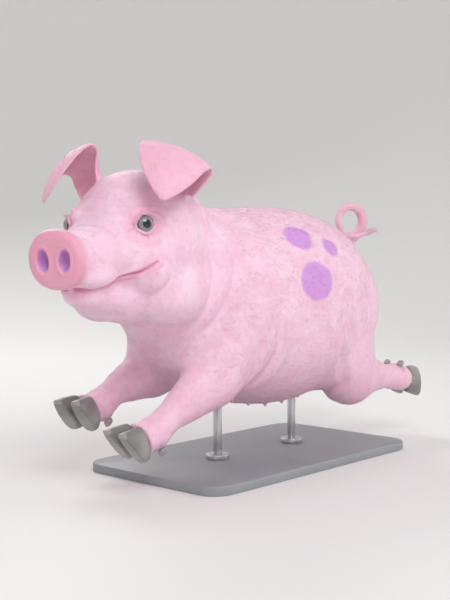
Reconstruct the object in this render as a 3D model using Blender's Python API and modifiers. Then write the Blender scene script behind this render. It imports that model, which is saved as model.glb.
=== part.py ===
"""A young domestic pig in full leap, life size, as a still model on a plain display stand.

The pig is modelled in its own frame, in metres: +X forward, +Y to its left, +Z up, with the floor at Z 0.
Flesh is one fused body that thin cuts part into head, neck, torso and legs. The last step turns the
model half round, so that its left side faces the front, -Y.
"""

import math
from collections import namedtuple

import bmesh
import bpy
import numpy as np
from mathutils import Matrix, Vector
from mathutils.bvhtree import BVHTree

# The gap between solids that meet, and the fineness of the fused flesh
GAP = 0.0003
VOXEL = 0.0045
FLESH_TRIANGLES = 6400
HEAD_SHARE = 0.42
SHARP_ANGLE = math.radians(50)

# Display stand
BASE_LENGTH = 0.64
BASE_WIDTH = 0.36
BASE_THICKNESS = 0.018
BASE_CENTRE_X = 0.0
BASE_CORNER = 0.045
BASE_EDGE = 0.003
ROD_RADIUS = 0.009
ROD_PLACES = {"front": 0.120, "rear": -0.120}
ROD_TOP = 0.26
COLLAR_RADIUS = 0.024
COLLAR_HEIGHT = 0.010

# Trunk, from the rump to the nape: a section's rise and drop are measured up and down from its centre
Section = namedtuple("Section", "x y z half_width rise drop")
TRUNK = [
    Section(-0.274, 0.000, 0.352, 0.042, 0.050, 0.040),
    Section(-0.265, 0.000, 0.350, 0.086, 0.094, 0.082),
    Section(-0.236, 0.000, 0.347, 0.128, 0.135, 0.136),
    Section(-0.182, 0.000, 0.343, 0.157, 0.162, 0.178),
    Section(-0.110, 0.000, 0.339, 0.173, 0.184, 0.206),
    Section(-0.024, 0.000, 0.336, 0.180, 0.195, 0.218),
    Section(0.064, 0.000, 0.339, 0.177, 0.190, 0.213),
    Section(0.138, 0.000, 0.350, 0.165, 0.180, 0.197),
    Section(0.198, 0.001, 0.368, 0.149, 0.168, 0.176),
    Section(0.247, 0.004, 0.390, 0.127, 0.152, 0.143),
    Section(0.287, 0.010, 0.413, 0.114, 0.127, 0.129),
    Section(0.322, 0.018, 0.437, 0.098, 0.100, 0.112),
]
TRUNK_SQUARENESS = 2.25

# Where the neck parts from the torso
NECK_CUT_PLACE = Vector((0.262, 0.006, 0.400))
NECK_CUT_NORMAL = Vector((0.90, 0.05, 0.42)).normalized()
NECK_CUT_RADIUS = 0.165
NECK_THICKNESS = 0.069

# Head: its own frame starts at the centre of the occiput, x along the snout, y to the left, z up
HEAD_PLACE = Vector((0.306, 0.008, 0.462))
HEAD_TURN = math.radians(15)
HEAD_NOD = math.radians(7)
HEAD_LENGTH = 0.277
HEAD_SCALE = 1.14
SKULL = [
    Section(-0.085, 0, 0, 0.060, 0.052, 0.050),
    Section(-0.040, 0, 0, 0.090, 0.084, 0.088),
    Section(0.003, 0, 0, 0.101, 0.103, 0.107),
    Section(0.043, 0, 0, 0.107, 0.116, 0.112),
    Section(0.078, 0, 0, 0.104, 0.110, 0.110),
    Section(0.110, 0, 0, 0.092, 0.088, 0.099),
    Section(0.140, 0, 0, 0.074, 0.064, 0.077),
    Section(0.170, 0, 0, 0.0600, 0.0490, 0.0550),
    Section(0.200, 0, 0, 0.0510, 0.0405, 0.0455),
    Section(0.228, 0, 0, 0.0455, 0.0370, 0.0425),
    Section(0.251, 0, 0, 0.0450, 0.0395, 0.0415),
    Section(0.262, 0, 0, 0.0495, 0.0465, 0.0445),
    Section(0.272, 0, 0, 0.0480, 0.0450, 0.0435),
    Section(HEAD_LENGTH, 0, 0, 0.0425, 0.0395, 0.0380),
]
LOWER_JAW = [
    Section(0.022, 0, -0.062, 0.060, 0.036, 0.050),
    Section(0.075, 0, -0.072, 0.072, 0.040, 0.054),
    Section(0.122, 0, -0.072, 0.060, 0.036, 0.046),
    Section(0.165, 0, -0.066, 0.044, 0.024, 0.034),
    Section(0.202, 0, -0.060, 0.033, 0.017, 0.024),
    Section(0.228, 0, -0.0565, 0.026, 0.012, 0.017),
    Section(0.240, 0, -0.0555, 0.015, 0.007, 0.010),
]
SNOUT_CUT = 0.254
SNOUT_CUT_RADIUS = 0.070
HEAD_CUT_PLACE = Vector((0.0096, 0.0, -0.0324))
HEAD_CUT_LEAN = math.radians(16)
HEAD_CUT_RADIUS = 0.168

# Bulges of muscle and fat: centre, then half sizes along x, y and z; the left one is mirrored to the right
Bulge = namedtuple("Bulge", "name centre half")
BODY_BULGES = [
    Bulge("shoulder", (0.180, 0.096, 0.355), (0.090, 0.056, 0.125)),
    Bulge("ham", (-0.200, 0.080, 0.318), (0.094, 0.072, 0.118)),
]
HEAD_BULGES = [
    Bulge("jowl", (0.060, 0.067, -0.074), (0.068, 0.048, 0.056)),
    Bulge("cheek", (0.106, 0.062, -0.026), (0.054, 0.040, 0.050)),
    Bulge("brow", (0.120, 0.054, 0.053), (0.032, 0.024, 0.011)),
    Bulge("upper_lip", (0.212, 0.031, -0.030), (0.050, 0.019, 0.017)),
]

# Eyes and lids, in the head's frame
EYE_RADIUS = 0.0155
EYE_PLACE = Vector((0.1310, 0.0640, 0.0370))
EYE_LOOK = Vector((0.58, 0.80, 0.08))
LID_THICKNESS = 0.0036
UPPER_LID_ANGLE = math.radians(54)
LOWER_LID_ANGLE = math.radians(42)
LID_SLANT = math.radians(10)

# Nostrils and mouth, in the head's frame
NOSTRIL_PLACE = Vector((HEAD_LENGTH + 0.001, 0.0185, 0.0005))
NOSTRIL_HALF = Vector((0.0190, 0.0098, 0.0160))
NOSTRIL_LEAN = math.radians(12)
MOUTH_GAP = 0.0028
MOUTH_DEPTH = 0.006
MOUTH_STEPS = 40
MOUTH_REACH = 0.05
MOUTH_PATH = [
    Vector((0.136, 0.071, -0.026)),
    Vector((0.156, 0.061, -0.036)),
    Vector((0.178, 0.050, -0.0435)),
    Vector((0.202, 0.040, -0.0465)),
    Vector((0.224, 0.031, -0.0465)),
    Vector((0.236, 0.020, -0.0465)),
    Vector((0.242, 0.007, -0.0465)),
]

# Ears: the midrib climbs from the poll, folds forward and hangs beside the brow, in the head's frame
EAR_MIDRIB = [
    Vector((0.036, 0.066, 0.082)),
    Vector((0.030, 0.080, 0.110)),
    Vector((0.038, 0.090, 0.135)),
    Vector((0.062, 0.096, 0.146)),
    Vector((0.092, 0.100, 0.138)),
    Vector((0.118, 0.104, 0.117)),
    Vector((0.138, 0.106, 0.090)),
    Vector((0.145, 0.106, 0.073)),
]
EAR_HALF_WIDTHS = [0.032, 0.041, 0.051, 0.056, 0.053, 0.043, 0.023, 0.004]
EAR_CUPS = [0.028, 0.025, 0.016, 0.012, 0.012, 0.010, 0.005, 0.001]
EAR_ACROSS = Vector((-0.40, 0.80, -0.42))
EAR_THICKNESS = 0.0055
EAR_ROWS = 11
EAR_COLUMNS = 6

# Legs: lengths from joint to joint, then sections at shares of each length
FORE_LENGTHS = {"arm": 0.095, "forearm": 0.108, "cannon": 0.060, "pastern": 0.036}
HIND_LENGTHS = {"thigh": 0.115, "gaskin": 0.120, "cannon": 0.074, "pastern": 0.038}
LegSection = namedtuple("LegSection", "bone share half_width front back")
FORE_SECTIONS = [
    LegSection("arm", 0.00, 0.048, 0.066, 0.066),
    LegSection("arm", 0.55, 0.052, 0.066, 0.068),
    LegSection("forearm", 0.00, 0.050, 0.054, 0.064),
    LegSection("forearm", 0.35, 0.0450, 0.0460, 0.0530),
    LegSection("forearm", 0.70, 0.0375, 0.0375, 0.0415),
    LegSection("forearm", 0.92, 0.0345, 0.0345, 0.0355),
    LegSection("cannon", 0.08, 0.0335, 0.0335, 0.0340),
    LegSection("cannon", 0.42, 0.0300, 0.0290, 0.0305),
    LegSection("cannon", 0.75, 0.0305, 0.0280, 0.0310),
    LegSection("pastern", 0.00, 0.0335, 0.0305, 0.0340),
    LegSection("pastern", 0.50, 0.0330, 0.0290, 0.0305),
    LegSection("pastern", 1.00, 0.0375, 0.0315, 0.0325),
    LegSection("pastern", 1.30, 0.0370, 0.0310, 0.0320),
]
HIND_SECTIONS = [
    LegSection("thigh", 0.00, 0.058, 0.100, 0.075),
    LegSection("thigh", 0.60, 0.060, 0.090, 0.088),
    LegSection("gaskin", 0.00, 0.054, 0.070, 0.076),
    LegSection("gaskin", 0.32, 0.0490, 0.0580, 0.0650),
    LegSection("gaskin", 0.64, 0.0400, 0.0435, 0.0490),
    LegSection("gaskin", 0.88, 0.0350, 0.0365, 0.0410),
    LegSection("cannon", 0.04, 0.0340, 0.0350, 0.0375),
    LegSection("cannon", 0.36, 0.0305, 0.0305, 0.0315),
    LegSection("cannon", 0.72, 0.0305, 0.0285, 0.0310),
    LegSection("pastern", 0.00, 0.0335, 0.0305, 0.0340),
    LegSection("pastern", 0.50, 0.0330, 0.0290, 0.0305),
    LegSection("pastern", 1.00, 0.0375, 0.0315, 0.0325),
    LegSection("pastern", 1.30, 0.0370, 0.0310, 0.0320),
]

# The leap: where each leg starts, and the heading of each bone in the X-Z plane, in degrees above +X
LegPose = namedtuple("LegPose", "name side root headings inward")
LEG_POSES = [
    LegPose("foreleg_left", 1, (0.180, 0.098, 0.285), (-60, -32, -32, -18), 0.10),
    LegPose("foreleg_right", -1, (0.188, 0.098, 0.296), (-74, -16, -24, -14), 0.10),
    LegPose("hindleg_left", 1, (-0.150, 0.098, 0.266), (-118, -174, -172, -172), 0.06),
    LegPose("hindleg_right", -1, (-0.148, 0.098, 0.298), (-126, -180, -176, -172), 0.06),
]
LEG_CUT_SHARES = {"fore": 0.62, "hind": 0.93}
LEG_CUT_RADIUS = 0.056

# Hooves: two claws and two dewclaws on each foot
CLAW_LENGTH = 0.052
CLAW_HEEL = 0.021
CLAW_HALF_WIDTH = 0.0182
CLAW_FRONT = 0.0310
CLAW_BACK = 0.0295
CLAW_TOE_FLARE = 0.0085
CLAW_HEEL_BULGE = 0.0040
CLAW_TOE_NARROWING = 0.30
CLAW_SQUARENESS = {"front": 2.3, "outside": 2.6, "slit": 3.4}
CLAW_SLIT = 0.0016
CLAW_SPLAY = 0.0034
CLAW_LEVELS = 4
CLAW_SIDES = 16
DEWCLAW_LENGTH = 0.026
DEWCLAW_RADIUS = 0.0092
DEWCLAW_TAPER = 0.35
DEWCLAW_BEHIND = 0.0335
DEWCLAW_APART = 0.0172

# Tail: one full turn of a helix between a straight root and a loose tip
TAIL_ROOT = Vector((-0.228, 0.0, 0.462))
TAIL_LOOP_CENTRE = Vector((-0.314, 0.012, 0.503))
TAIL_LOOP_RADIUS = 0.037
TAIL_LOOP_FACING = math.radians(-28)
TAIL_LOOP_START = math.radians(-108)
TAIL_LOOP_TURN = math.radians(392)
TAIL_SWING = 0.037
TAIL_TIP_LENGTH = 0.040
TAIL_ROOT_RADIUS = 0.0165
TAIL_TIP_RADIUS = 0.0052
TAIL_LOOP_STEPS = 28
TAIL_TIP_STEPS = 3
TAIL_TIP_LIFT = Vector((-0.25, 0.10, 0.45))
TAIL_BREAKS = (0.24, 0.52, 0.78)
TAIL_DISC_MARGIN = 0.004
TAIL_LENGTHS = ("tail_root", "tail_rise", "tail_curl", "tail_tip")

# Looks: colour, roughness and metallic value
Look = namedtuple("Look", "colour roughness metallic")
SKIN = Look((0.90, 0.66, 0.72, 1.0), 0.6, 0.0)
SNOUT_SKIN = Look((0.86, 0.52, 0.60, 1.0), 0.45, 0.0)
HORN = Look((0.34, 0.33, 0.33, 1.0), 0.5, 0.0)
EYE_GLOSS = Look((0.20, 0.20, 0.21, 1.0), 0.1, 0.0)
PAINTED_BASE = Look((0.72, 0.71, 0.69, 1.0), 0.5, 0.0)
BRUSHED_STEEL = Look((0.62, 0.62, 0.63, 1.0), 0.3, 1.0)

LEFT = Vector((0, 1, 0))


# Scene helpers


def clear_scene():
    for obj in list(bpy.data.objects):
        bpy.data.objects.remove(obj)


def new_collection(name):
    collection = bpy.data.collections.new(name)
    bpy.context.scene.collection.children.link(collection)
    return collection


def give_look(obj, look):
    """Gives the object its own material and smooth shading with sharp edges kept."""
    material = bpy.data.materials.new(obj.name)
    material.use_nodes = True
    shader = material.node_tree.nodes["Principled BSDF"]
    shader.inputs["Base Color"].default_value = look.colour
    shader.inputs["Roughness"].default_value = look.roughness
    shader.inputs["Metallic"].default_value = look.metallic
    obj.data.materials.clear()
    obj.data.materials.append(material)
    obj.data.shade_smooth()
    obj.data.set_sharp_from_angle(angle=SHARP_ANGLE)


def object_from(name, bm, collection):
    """A named object with the bmesh's shape, which is freed."""
    bmesh.ops.recalc_face_normals(bm, faces=bm.faces[:])
    mesh = bpy.data.meshes.new(name)
    bm.to_mesh(mesh)
    bm.free()
    obj = bpy.data.objects.new(name, mesh)
    collection.objects.link(obj)
    return obj


def apply_modifiers(obj):
    """Keeps the shape that the object's modifiers give, and removes them."""
    graph = bpy.context.evaluated_depsgraph_get()
    mesh = bpy.data.meshes.new_from_object(obj.evaluated_get(graph))
    obj.modifiers.clear()
    obj.data = mesh


def copy_of(obj, name, collection):
    duplicate = obj.copy()
    duplicate.data = obj.data.copy()
    duplicate.name = name
    collection.objects.link(duplicate)
    return duplicate


def remove_objects(objects):
    for obj in list(objects):
        bpy.data.objects.remove(obj)


def combine(obj, others, operation):
    """Joins or cuts the object with closed meshes, which are then removed."""
    operands = bpy.data.collections.new("operands")
    for other in others:
        operands.objects.link(other)
    modifier = obj.modifiers.new("combine", "BOOLEAN")
    modifier.operation = operation
    modifier.solver = "EXACT"
    modifier.operand_type = "COLLECTION"
    modifier.collection = operands
    apply_modifiers(obj)
    remove_objects(others)
    bpy.data.collections.remove(operands)


def loose_parts(bm):
    """The sets of faces that hang together."""
    left = set(bm.faces)
    parts = []
    while left:
        front = [left.pop()]
        part = set(front)
        while front:
            face = front.pop()
            for edge in face.edges:
                for other in edge.link_faces:
                    if other in left:
                        left.discard(other)
                        part.add(other)
                        front.append(other)
        parts.append(part)
    return parts


def keep_largest(obj):
    """Keeps only the closed surface with the most room in it."""
    bm = bmesh.new()
    bm.from_mesh(obj.data)
    parts = loose_parts(bm)
    if len(parts) > 1:
        parts.sort(key=lambda part: span_of(part), reverse=True)
        scraps = [face for part in parts[1:] for face in part]
        bmesh.ops.delete(bm, geom=scraps, context="FACES")
        bm.to_mesh(obj.data)
    bm.free()


def span_of(part):
    """The diagonal of the box round these faces."""
    points = [vert.co for face in part for vert in face.verts]
    low = Vector([min(p[i] for p in points) for i in range(3)])
    high = Vector([max(p[i] for p in points) for i in range(3)])
    return (high - low).length


def swollen(obj, by, collection):
    """A copy of the object grown outwards by a small distance."""
    copy = copy_of(obj, obj.name + "_swollen", collection)
    modifier = copy.modifiers.new("swell", "DISPLACE")
    modifier.strength = by
    modifier.mid_level = 0.0
    apply_modifiers(copy)
    return copy


# Lofted forms


def power(value, squareness):
    """A cosine or sine bent towards a square, with its sign kept."""
    return math.copysign(abs(value) ** (2.0 / squareness), value)


def add_ring(bm, centre, side, up, half_width, rise, drop, squareness, sides):
    verts = []
    for k in range(sides):
        angle = 2 * math.pi * k / sides
        across = half_width * power(math.cos(angle), squareness)
        height = (rise if math.sin(angle) > 0 else drop) * power(math.sin(angle), squareness)
        verts.append(bm.verts.new(centre + side * across + up * height))
    return verts


def smooth_between(values, share):
    """A Catmull-Rom reading of evenly numbered values at a share of the whole row."""
    last = len(values) - 1
    spot = min(max(share, 0.0), 1.0) * last
    i = min(int(spot), last - 1)
    t = spot - i
    a = values[max(i - 1, 0)]
    b, c = values[i], values[i + 1]
    d = values[min(i + 2, last)]
    bend = (c - a) * t + (a * 2 - b * 5 + c * 4 - d) * t**2 + (b * 3 - a - c * 3 + d) * t**3
    return b + bend * 0.5


def smooth_sections(sections, per_gap):
    """More sections, read from smooth curves through the given ones."""
    count = (len(sections) - 1) * per_gap
    rows = []
    for k in range(count + 1):
        share = k / count
        fields = [smooth_between([s[i] for s in sections], share) for i in range(6)]
        rows.append(Section(*fields))
    return rows


def loft(name, sections, collection, squareness=2.0, sides=28, per_gap=3):
    """A closed body through oval sections that stand across the line of their centres."""
    bm = bmesh.new()
    rows = smooth_sections(sections, per_gap)
    centres = [Vector((row.x, row.y, row.z)) for row in rows]
    rings = []
    for i, row in enumerate(rows):
        ahead = centres[min(i + 1, len(rows) - 1)] - centres[max(i - 1, 0)]
        ahead.normalize()
        side = (LEFT - ahead * LEFT.dot(ahead)).normalized()
        up = ahead.cross(side)
        rings.append(add_ring(bm, centres[i], side, up, *row[3:], squareness, sides))
    for ring, following in zip(rings, rings[1:]):
        for k in range(sides):
            n = (k + 1) % sides
            bm.faces.new((ring[k], ring[n], following[n], following[k]))
    bm.faces.new(rings[0])
    bm.faces.new(rings[-1])
    return object_from(name, bm, collection)


def ellipsoid(name, centre, half, collection, segments=24):
    bm = bmesh.new()
    bmesh.ops.create_uvsphere(bm, u_segments=segments, v_segments=segments // 2, radius=1.0)
    bmesh.ops.transform(bm, matrix=Matrix.Translation(centre) @ Matrix.Diagonal((*half, 1.0)), verts=bm.verts)
    return object_from(name, bm, collection)


def pair_of_bulges(bulge, collection):
    x, y, z = bulge.centre
    return [
        ellipsoid(bulge.name + "_left", (x, y, z), bulge.half, collection),
        ellipsoid(bulge.name + "_right", (x, -y, z), bulge.half, collection),
    ]


def head_frame():
    """The head's own frame in the pig's frame: turned to the left and nodding."""
    turn = Matrix.Rotation(HEAD_TURN, 4, "Z")
    nod = Matrix.Rotation(HEAD_NOD, 4, "Y")
    return Matrix.Translation(HEAD_PLACE) @ turn @ nod @ Matrix.Scale(HEAD_SCALE, 4)


def place(objects, matrix):
    for obj in objects:
        obj.data.transform(matrix)


# Legs


class Leg:
    """A leg's joints, bone headings and foot frame, worked out from its pose."""

    def __init__(self, pose):
        self.name = pose.name
        fore = pose.name.startswith("fore")
        lengths = FORE_LENGTHS if fore else HIND_LENGTHS
        self.sections = FORE_SECTIONS if fore else HIND_SECTIONS
        x, y, z = pose.root
        spot = Vector((x, y * pose.side, z))
        self.bones = {}
        for (bone, length), heading in zip(lengths.items(), pose.headings):
            angle = math.radians(heading)
            step = Vector((math.cos(angle), -pose.inward * pose.side, math.sin(angle))).normalized()
            self.bones[bone] = (spot.copy(), step, length)
            spot += step * length
        self.hoof_top = spot
        self.along = self.bones["pastern"][1]
        self.side = (LEFT - self.along * LEFT.dot(self.along)).normalized()
        self.front = self.along.cross(self.side)

    def point(self, bone, share):
        start, step, length = self.bones[bone]
        return start + step * length * share

    def body_sections(self):
        return [
            Section(*self.point(s.bone, s.share), s.half_width, s.front, s.back)
            for s in self.sections
        ]


def make_claw(leg, number, collection):
    """One main claw of a foot: a horn wedge with a flat top at the coronet and a flat sole."""
    outer = 1 if number == 0 else -1
    bm = bmesh.new()
    rings = []
    for level in range(CLAW_LEVELS + 1):
        share = level / CLAW_LEVELS
        front = CLAW_FRONT + CLAW_TOE_FLARE * share**0.8
        back = -CLAW_BACK - CLAW_HEEL_BULGE * math.sin(math.pi * min(share, 0.7))
        half = CLAW_HALF_WIDTH * (0.93 + 0.12 * math.sin(math.pi * 0.75 * share))
        middle = outer * (CLAW_SLIT / 2 + half + CLAW_SPLAY * share)
        ring = []
        for k in range(CLAW_SIDES):
            angle = 2 * math.pi * k / CLAW_SIDES
            lengthwise = 0.5 + 0.5 * power(math.sin(angle), CLAW_SQUARENESS["front"])
            height = back + (front - back) * lengthwise
            narrowing = 1.0 - CLAW_TOE_NARROWING * lengthwise**2
            outward = math.cos(angle) * outer
            squareness = CLAW_SQUARENESS["outside" if outward > 0 else "slit"]
            across = middle + outer * half * narrowing * power(outward, squareness)
            down = GAP + share * (CLAW_HEEL + (CLAW_LENGTH - CLAW_HEEL) * lengthwise)
            spot = leg.hoof_top + leg.along * down + leg.front * height + leg.side * across
            ring.append(bm.verts.new(spot))
        rings.append(ring)
    for ring, following in zip(rings, rings[1:]):
        for k in range(CLAW_SIDES):
            n = (k + 1) % CLAW_SIDES
            bm.faces.new((ring[k], ring[n], following[n], following[k]))
    bm.faces.new(rings[0])
    bm.faces.new(rings[-1])
    place_name = ("outer", "inner")[number if leg.hoof_top.y > 0 else 1 - number]
    return object_from(f"{leg.name}_claw_{place_name}", bm, collection)


def make_dewclaw(leg, number, collection):
    """A small blunt cone behind the fetlock, sunk in the leg."""
    outer = 1 if number == 0 else -1
    bm = bmesh.new()
    bmesh.ops.create_uvsphere(bm, u_segments=12, v_segments=7, radius=1.0)
    for vert in bm.verts:
        radius = DEWCLAW_RADIUS * (1.0 - DEWCLAW_TAPER * max(vert.co.z, 0.0))
        vert.co.x *= radius
        vert.co.y *= radius
        vert.co.z *= DEWCLAW_LENGTH / 2
    point_at = (leg.along * 0.80 - leg.front * 0.60 + leg.side * outer * 0.18).normalized()
    turn = point_at.to_track_quat("Z", "X").to_matrix().to_4x4()
    fetlock = leg.point("pastern", 0.10)
    spot = fetlock - leg.front * DEWCLAW_BEHIND + leg.side * outer * DEWCLAW_APART
    bmesh.ops.transform(bm, matrix=Matrix.Translation(spot) @ turn, verts=bm.verts)
    place_name = ("outer", "inner")[number if leg.hoof_top.y > 0 else 1 - number]
    return object_from(f"{leg.name}_dewclaw_{place_name}", bm, collection)


# Flesh: one fused body


def fuse(name, pieces, collection):
    """One closed surface round overlapping closed pieces, which are removed."""
    bm = bmesh.new()
    for piece in pieces:
        bm.from_mesh(piece.data)
    remove_objects(pieces)
    fused = object_from(name, bm, collection)
    remesh = fused.modifiers.new("fuse", "REMESH")
    remesh.mode = "VOXEL"
    remesh.voxel_size = VOXEL
    apply_modifiers(fused)
    keep_largest(fused)
    return fused


def soften(obj, places, rounds, shrink=0.15):
    """Fills creases inside spheres given as centre and radius, and lowers ridges much less."""
    mesh = obj.data
    spots = np.zeros(len(mesh.vertices) * 3)
    mesh.vertices.foreach_get("co", spots)
    spots = spots.reshape(-1, 3)
    ends = np.zeros(len(mesh.edges) * 2, dtype=np.int32)
    mesh.edges.foreach_get("vertices", ends)
    ends = ends.reshape(-1, 2)
    pull = np.zeros(len(spots))
    for centre, radius in places:
        reach = np.linalg.norm(spots - np.array(centre), axis=1) / radius
        pull = np.maximum(pull, np.clip((1.0 - reach) / 0.3, 0.0, 1.0))
    touched = np.nonzero(pull > 0)[0]
    for _ in range(rounds):
        inward = neighbour_pull(spots, ends)
        normals = np.zeros(len(spots) * 3)
        mesh.vertex_normals.foreach_get("vector", normals)
        outward = np.sum(inward * normals.reshape(-1, 3), axis=1)
        strength = pull * np.where(outward > 0, 0.6, shrink)
        spots[touched] += (inward * strength[:, None])[touched]
        mesh.vertices.foreach_set("co", spots.ravel())
        mesh.update()


def neighbour_pull(spots, ends):
    """From each point to the middle of its neighbours."""
    sums = np.zeros_like(spots)
    counts = np.zeros(len(spots))
    for here, there in ((0, 1), (1, 0)):
        for axis in range(3):
            sums[:, axis] += np.bincount(ends[:, here], spots[ends[:, there], axis], len(spots))
        counts += np.bincount(ends[:, here], minlength=len(spots))
    return sums / counts[:, None] - spots


def thin_out(obj, inside, share_kept, total):
    """Fewer triangles: first outside the given region, then inside it, down to the total."""
    for wanted_inside, target in ((False, total * (1 - share_kept)), (True, total * share_kept)):
        group = obj.vertex_groups.new(name="region")
        chosen = [v.index for v in obj.data.vertices if inside(v.co) == wanted_inside]
        group.add(chosen, 1.0, "REPLACE")
        obj.data.calc_loop_triangles()
        triangles = len(obj.data.loop_triangles)
        held = set(chosen)
        here = sum(1 for t in obj.data.loop_triangles if t.vertices[0] in held)
        modifier = obj.modifiers.new("thin", "DECIMATE")
        modifier.ratio = (triangles - here + target) / triangles
        modifier.vertex_group = "region"
        modifier.vertex_group_factor = 1000.0
        modifier.use_collapse_triangulate = True
        apply_modifiers(obj)
        obj.vertex_groups.clear()


def make_flesh(legs, collection):
    """Trunk, head and legs as one body, softened where they join."""
    head = [
        loft("skull", SKULL, collection, squareness=2.15, sides=32, per_gap=4),
        loft("lower_jaw", LOWER_JAW, collection, squareness=2.2, sides=24, per_gap=4),
    ]
    for bulge in HEAD_BULGES:
        head += pair_of_bulges(bulge, collection)
    place(head, head_frame())
    pieces = head + [loft("trunk", TRUNK, collection, TRUNK_SQUARENESS, sides=40, per_gap=4)]
    for bulge in BODY_BULGES:
        pieces += pair_of_bulges(bulge, collection)
    for leg in legs:
        pieces.append(loft(leg.name, leg.body_sections(), collection, squareness=2.1, per_gap=3))
    flesh = fuse("flesh", pieces, collection)
    soften(flesh, joining_places(legs), rounds=60, shrink=0.06)
    soften(flesh, [(Vector((0.1, 0, 0.3)), 2.0)], rounds=4, shrink=0.4)
    return flesh


def joining_places(legs):
    """Spheres over the places where one form runs into another."""
    frame = head_frame()
    places = [(frame @ Vector((-0.010, 0, -0.01)), 0.150), (Vector((0.205, 0, 0.34)), 0.230)]
    places += [(Vector((-0.18, 0, 0.28)), 0.240), (frame @ Vector((0.09, 0, -0.08)), 0.085)]
    return places


# Cuts that part the flesh


def thin_disc(name, centre, normal, radius, collection):
    """A cutter as thin as the gap between two nodes."""
    bm = bmesh.new()
    bmesh.ops.create_cone(
        bm, cap_ends=True, segments=32, radius1=radius, radius2=radius, depth=GAP
    )
    turn = Vector(normal).to_track_quat("Z", "X").to_matrix().to_4x4()
    bmesh.ops.transform(bm, matrix=Matrix.Translation(centre) @ turn, verts=bm.verts)
    return object_from(name, bm, collection)


def drop_flaps(bm):
    """Removes faces that lie back to back, which a Boolean can leave as a flap of no thickness."""
    alike = {}
    for face in bm.faces:
        alike.setdefault(frozenset(face.verts), []).append(face)
    flaps = [face for faces in alike.values() if len(faces) > 1 for face in faces]
    bmesh.ops.delete(bm, geom=flaps, context="FACES")


def split(body, cutters, spots, collection):
    """Cuts the body with thin discs and names each part that comes loose for the spot nearest to it."""
    combine(body, cutters, "DIFFERENCE")
    bm = bmesh.new()
    bm.from_mesh(body.data)
    drop_flaps(bm)
    parts = loose_parts(bm)
    nodes = {}
    for name, spot in spots.items():
        nearest = min(parts, key=lambda part: distance_to(part, spot))
        parts.remove(nearest)
        nodes[name] = object_of_faces(name, nearest, collection)
    bm.free()
    remove_objects([body])
    return nodes


def distance_to(part, spot):
    """How far the middle of these faces is from a spot."""
    middle = Vector()
    area = 0.0
    for face in part:
        size = face.calc_area()
        middle += face.calc_center_median() * size
        area += size
    return (middle / area - spot).length


def object_of_faces(name, faces, collection):
    bm = bmesh.new()
    verts = {}
    for face in faces:
        for vert in face.verts:
            if vert not in verts:
                verts[vert] = bm.verts.new(vert.co)
    for face in faces:
        bm.faces.new([verts[vert] for vert in face.verts])
    mesh = bpy.data.meshes.new(name)
    bm.to_mesh(mesh)
    bm.free()
    obj = bpy.data.objects.new(name, mesh)
    collection.objects.link(obj)
    return obj


# Features of the head


def half_lid(name, side, upward, collection):
    """A lid: a shell-thick ball round the eye, cut away past a plane through its middle."""
    bm = bmesh.new()
    radius = EYE_RADIUS + LID_THICKNESS
    bmesh.ops.create_uvsphere(bm, u_segments=24, v_segments=14, radius=radius)
    frame = eye_frame(side)
    angle = UPPER_LID_ANGLE if upward else -LOWER_LID_ANGLE
    slant = Matrix.Rotation(-LID_SLANT * side, 3, "Z")
    normal = slant @ Vector((0, math.cos(angle), -math.sin(angle)))
    normal = normal if upward else -normal
    bmesh.ops.rotate(bm, verts=bm.verts, cent=(0, 0, 0), matrix=Matrix.Rotation(math.pi / 2, 3, "X"))
    geom = bm.verts[:] + bm.edges[:] + bm.faces[:]
    cut = bmesh.ops.bisect_plane(
        bm, geom=geom, plane_co=(0, 0, 0), plane_no=normal, clear_inner=True
    )
    rim = [item for item in cut["geom_cut"] if isinstance(item, bmesh.types.BMEdge)]
    bmesh.ops.contextual_create(bm, geom=rim)
    bmesh.ops.transform(bm, matrix=frame, verts=bm.verts)
    return object_from(name, bm, collection)


def eye_frame(side):
    """The eye's frame in the head's: z looks out, x runs towards the snout, y up."""
    look = Vector((EYE_LOOK.x, EYE_LOOK.y * side, EYE_LOOK.z)).normalized()
    up = Vector((0, 0, 1))
    up = (up - look * up.dot(look)).normalized()
    along = up.cross(look)
    turn = Matrix((along, up, look)).transposed().to_4x4()
    spot = Vector((EYE_PLACE.x, EYE_PLACE.y * side, EYE_PLACE.z))
    return Matrix.Translation(spot) @ turn


def ball(name, centre, radius, collection, segments=18):
    bm = bmesh.new()
    bmesh.ops.create_uvsphere(bm, u_segments=segments, v_segments=segments // 2, radius=radius)
    bmesh.ops.translate(bm, verts=bm.verts, vec=centre)
    return object_from(name, bm, collection)


def mouth_cutter(flesh, collection):
    """A thin ribbon on the line of the mouth, sunk in the surface by the depth of the groove."""
    frame = head_frame()
    surface = BVHTree.FromPolygons(
        [frame.inverted() @ v.co for v in flesh.data.vertices],
        [face.vertices for face in flesh.data.polygons],
    )
    path = MOUTH_PATH + [Vector((p.x, -p.y, p.z)) for p in reversed(MOUTH_PATH)]
    path = [smooth_between(path, k / MOUTH_STEPS) for k in range(MOUTH_STEPS + 1)]
    bm = bmesh.new()
    rings = []
    for i, spot in enumerate(path):
        run = path[min(i + 1, MOUTH_STEPS)] - path[max(i - 1, 0)]
        outward = Vector((run.y, -run.x, 0)).normalized()
        outward = outward if outward.dot(Vector((0.02, spot.y, 0))) > 0 else -outward
        hit = surface.ray_cast(spot + outward * MOUTH_REACH, -outward, MOUTH_REACH * 1.2)[0] or spot
        upright = Vector((0, 0, MOUTH_GAP / 2))
        inner, outer = hit - outward * MOUTH_DEPTH, hit + outward * MOUTH_DEPTH
        corners = (inner, outer - upright, outer + upright)
        rings.append([bm.verts.new(corner) for corner in corners])
    for ring, following in zip(rings, rings[1:]):
        for k in range(3):
            n = (k + 1) % 3
            bm.faces.new((ring[k], ring[n], following[n], following[k]))
    bm.faces.new(rings[0])
    bm.faces.new(rings[-1])
    return object_from("mouth_cutter", bm, collection)


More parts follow.
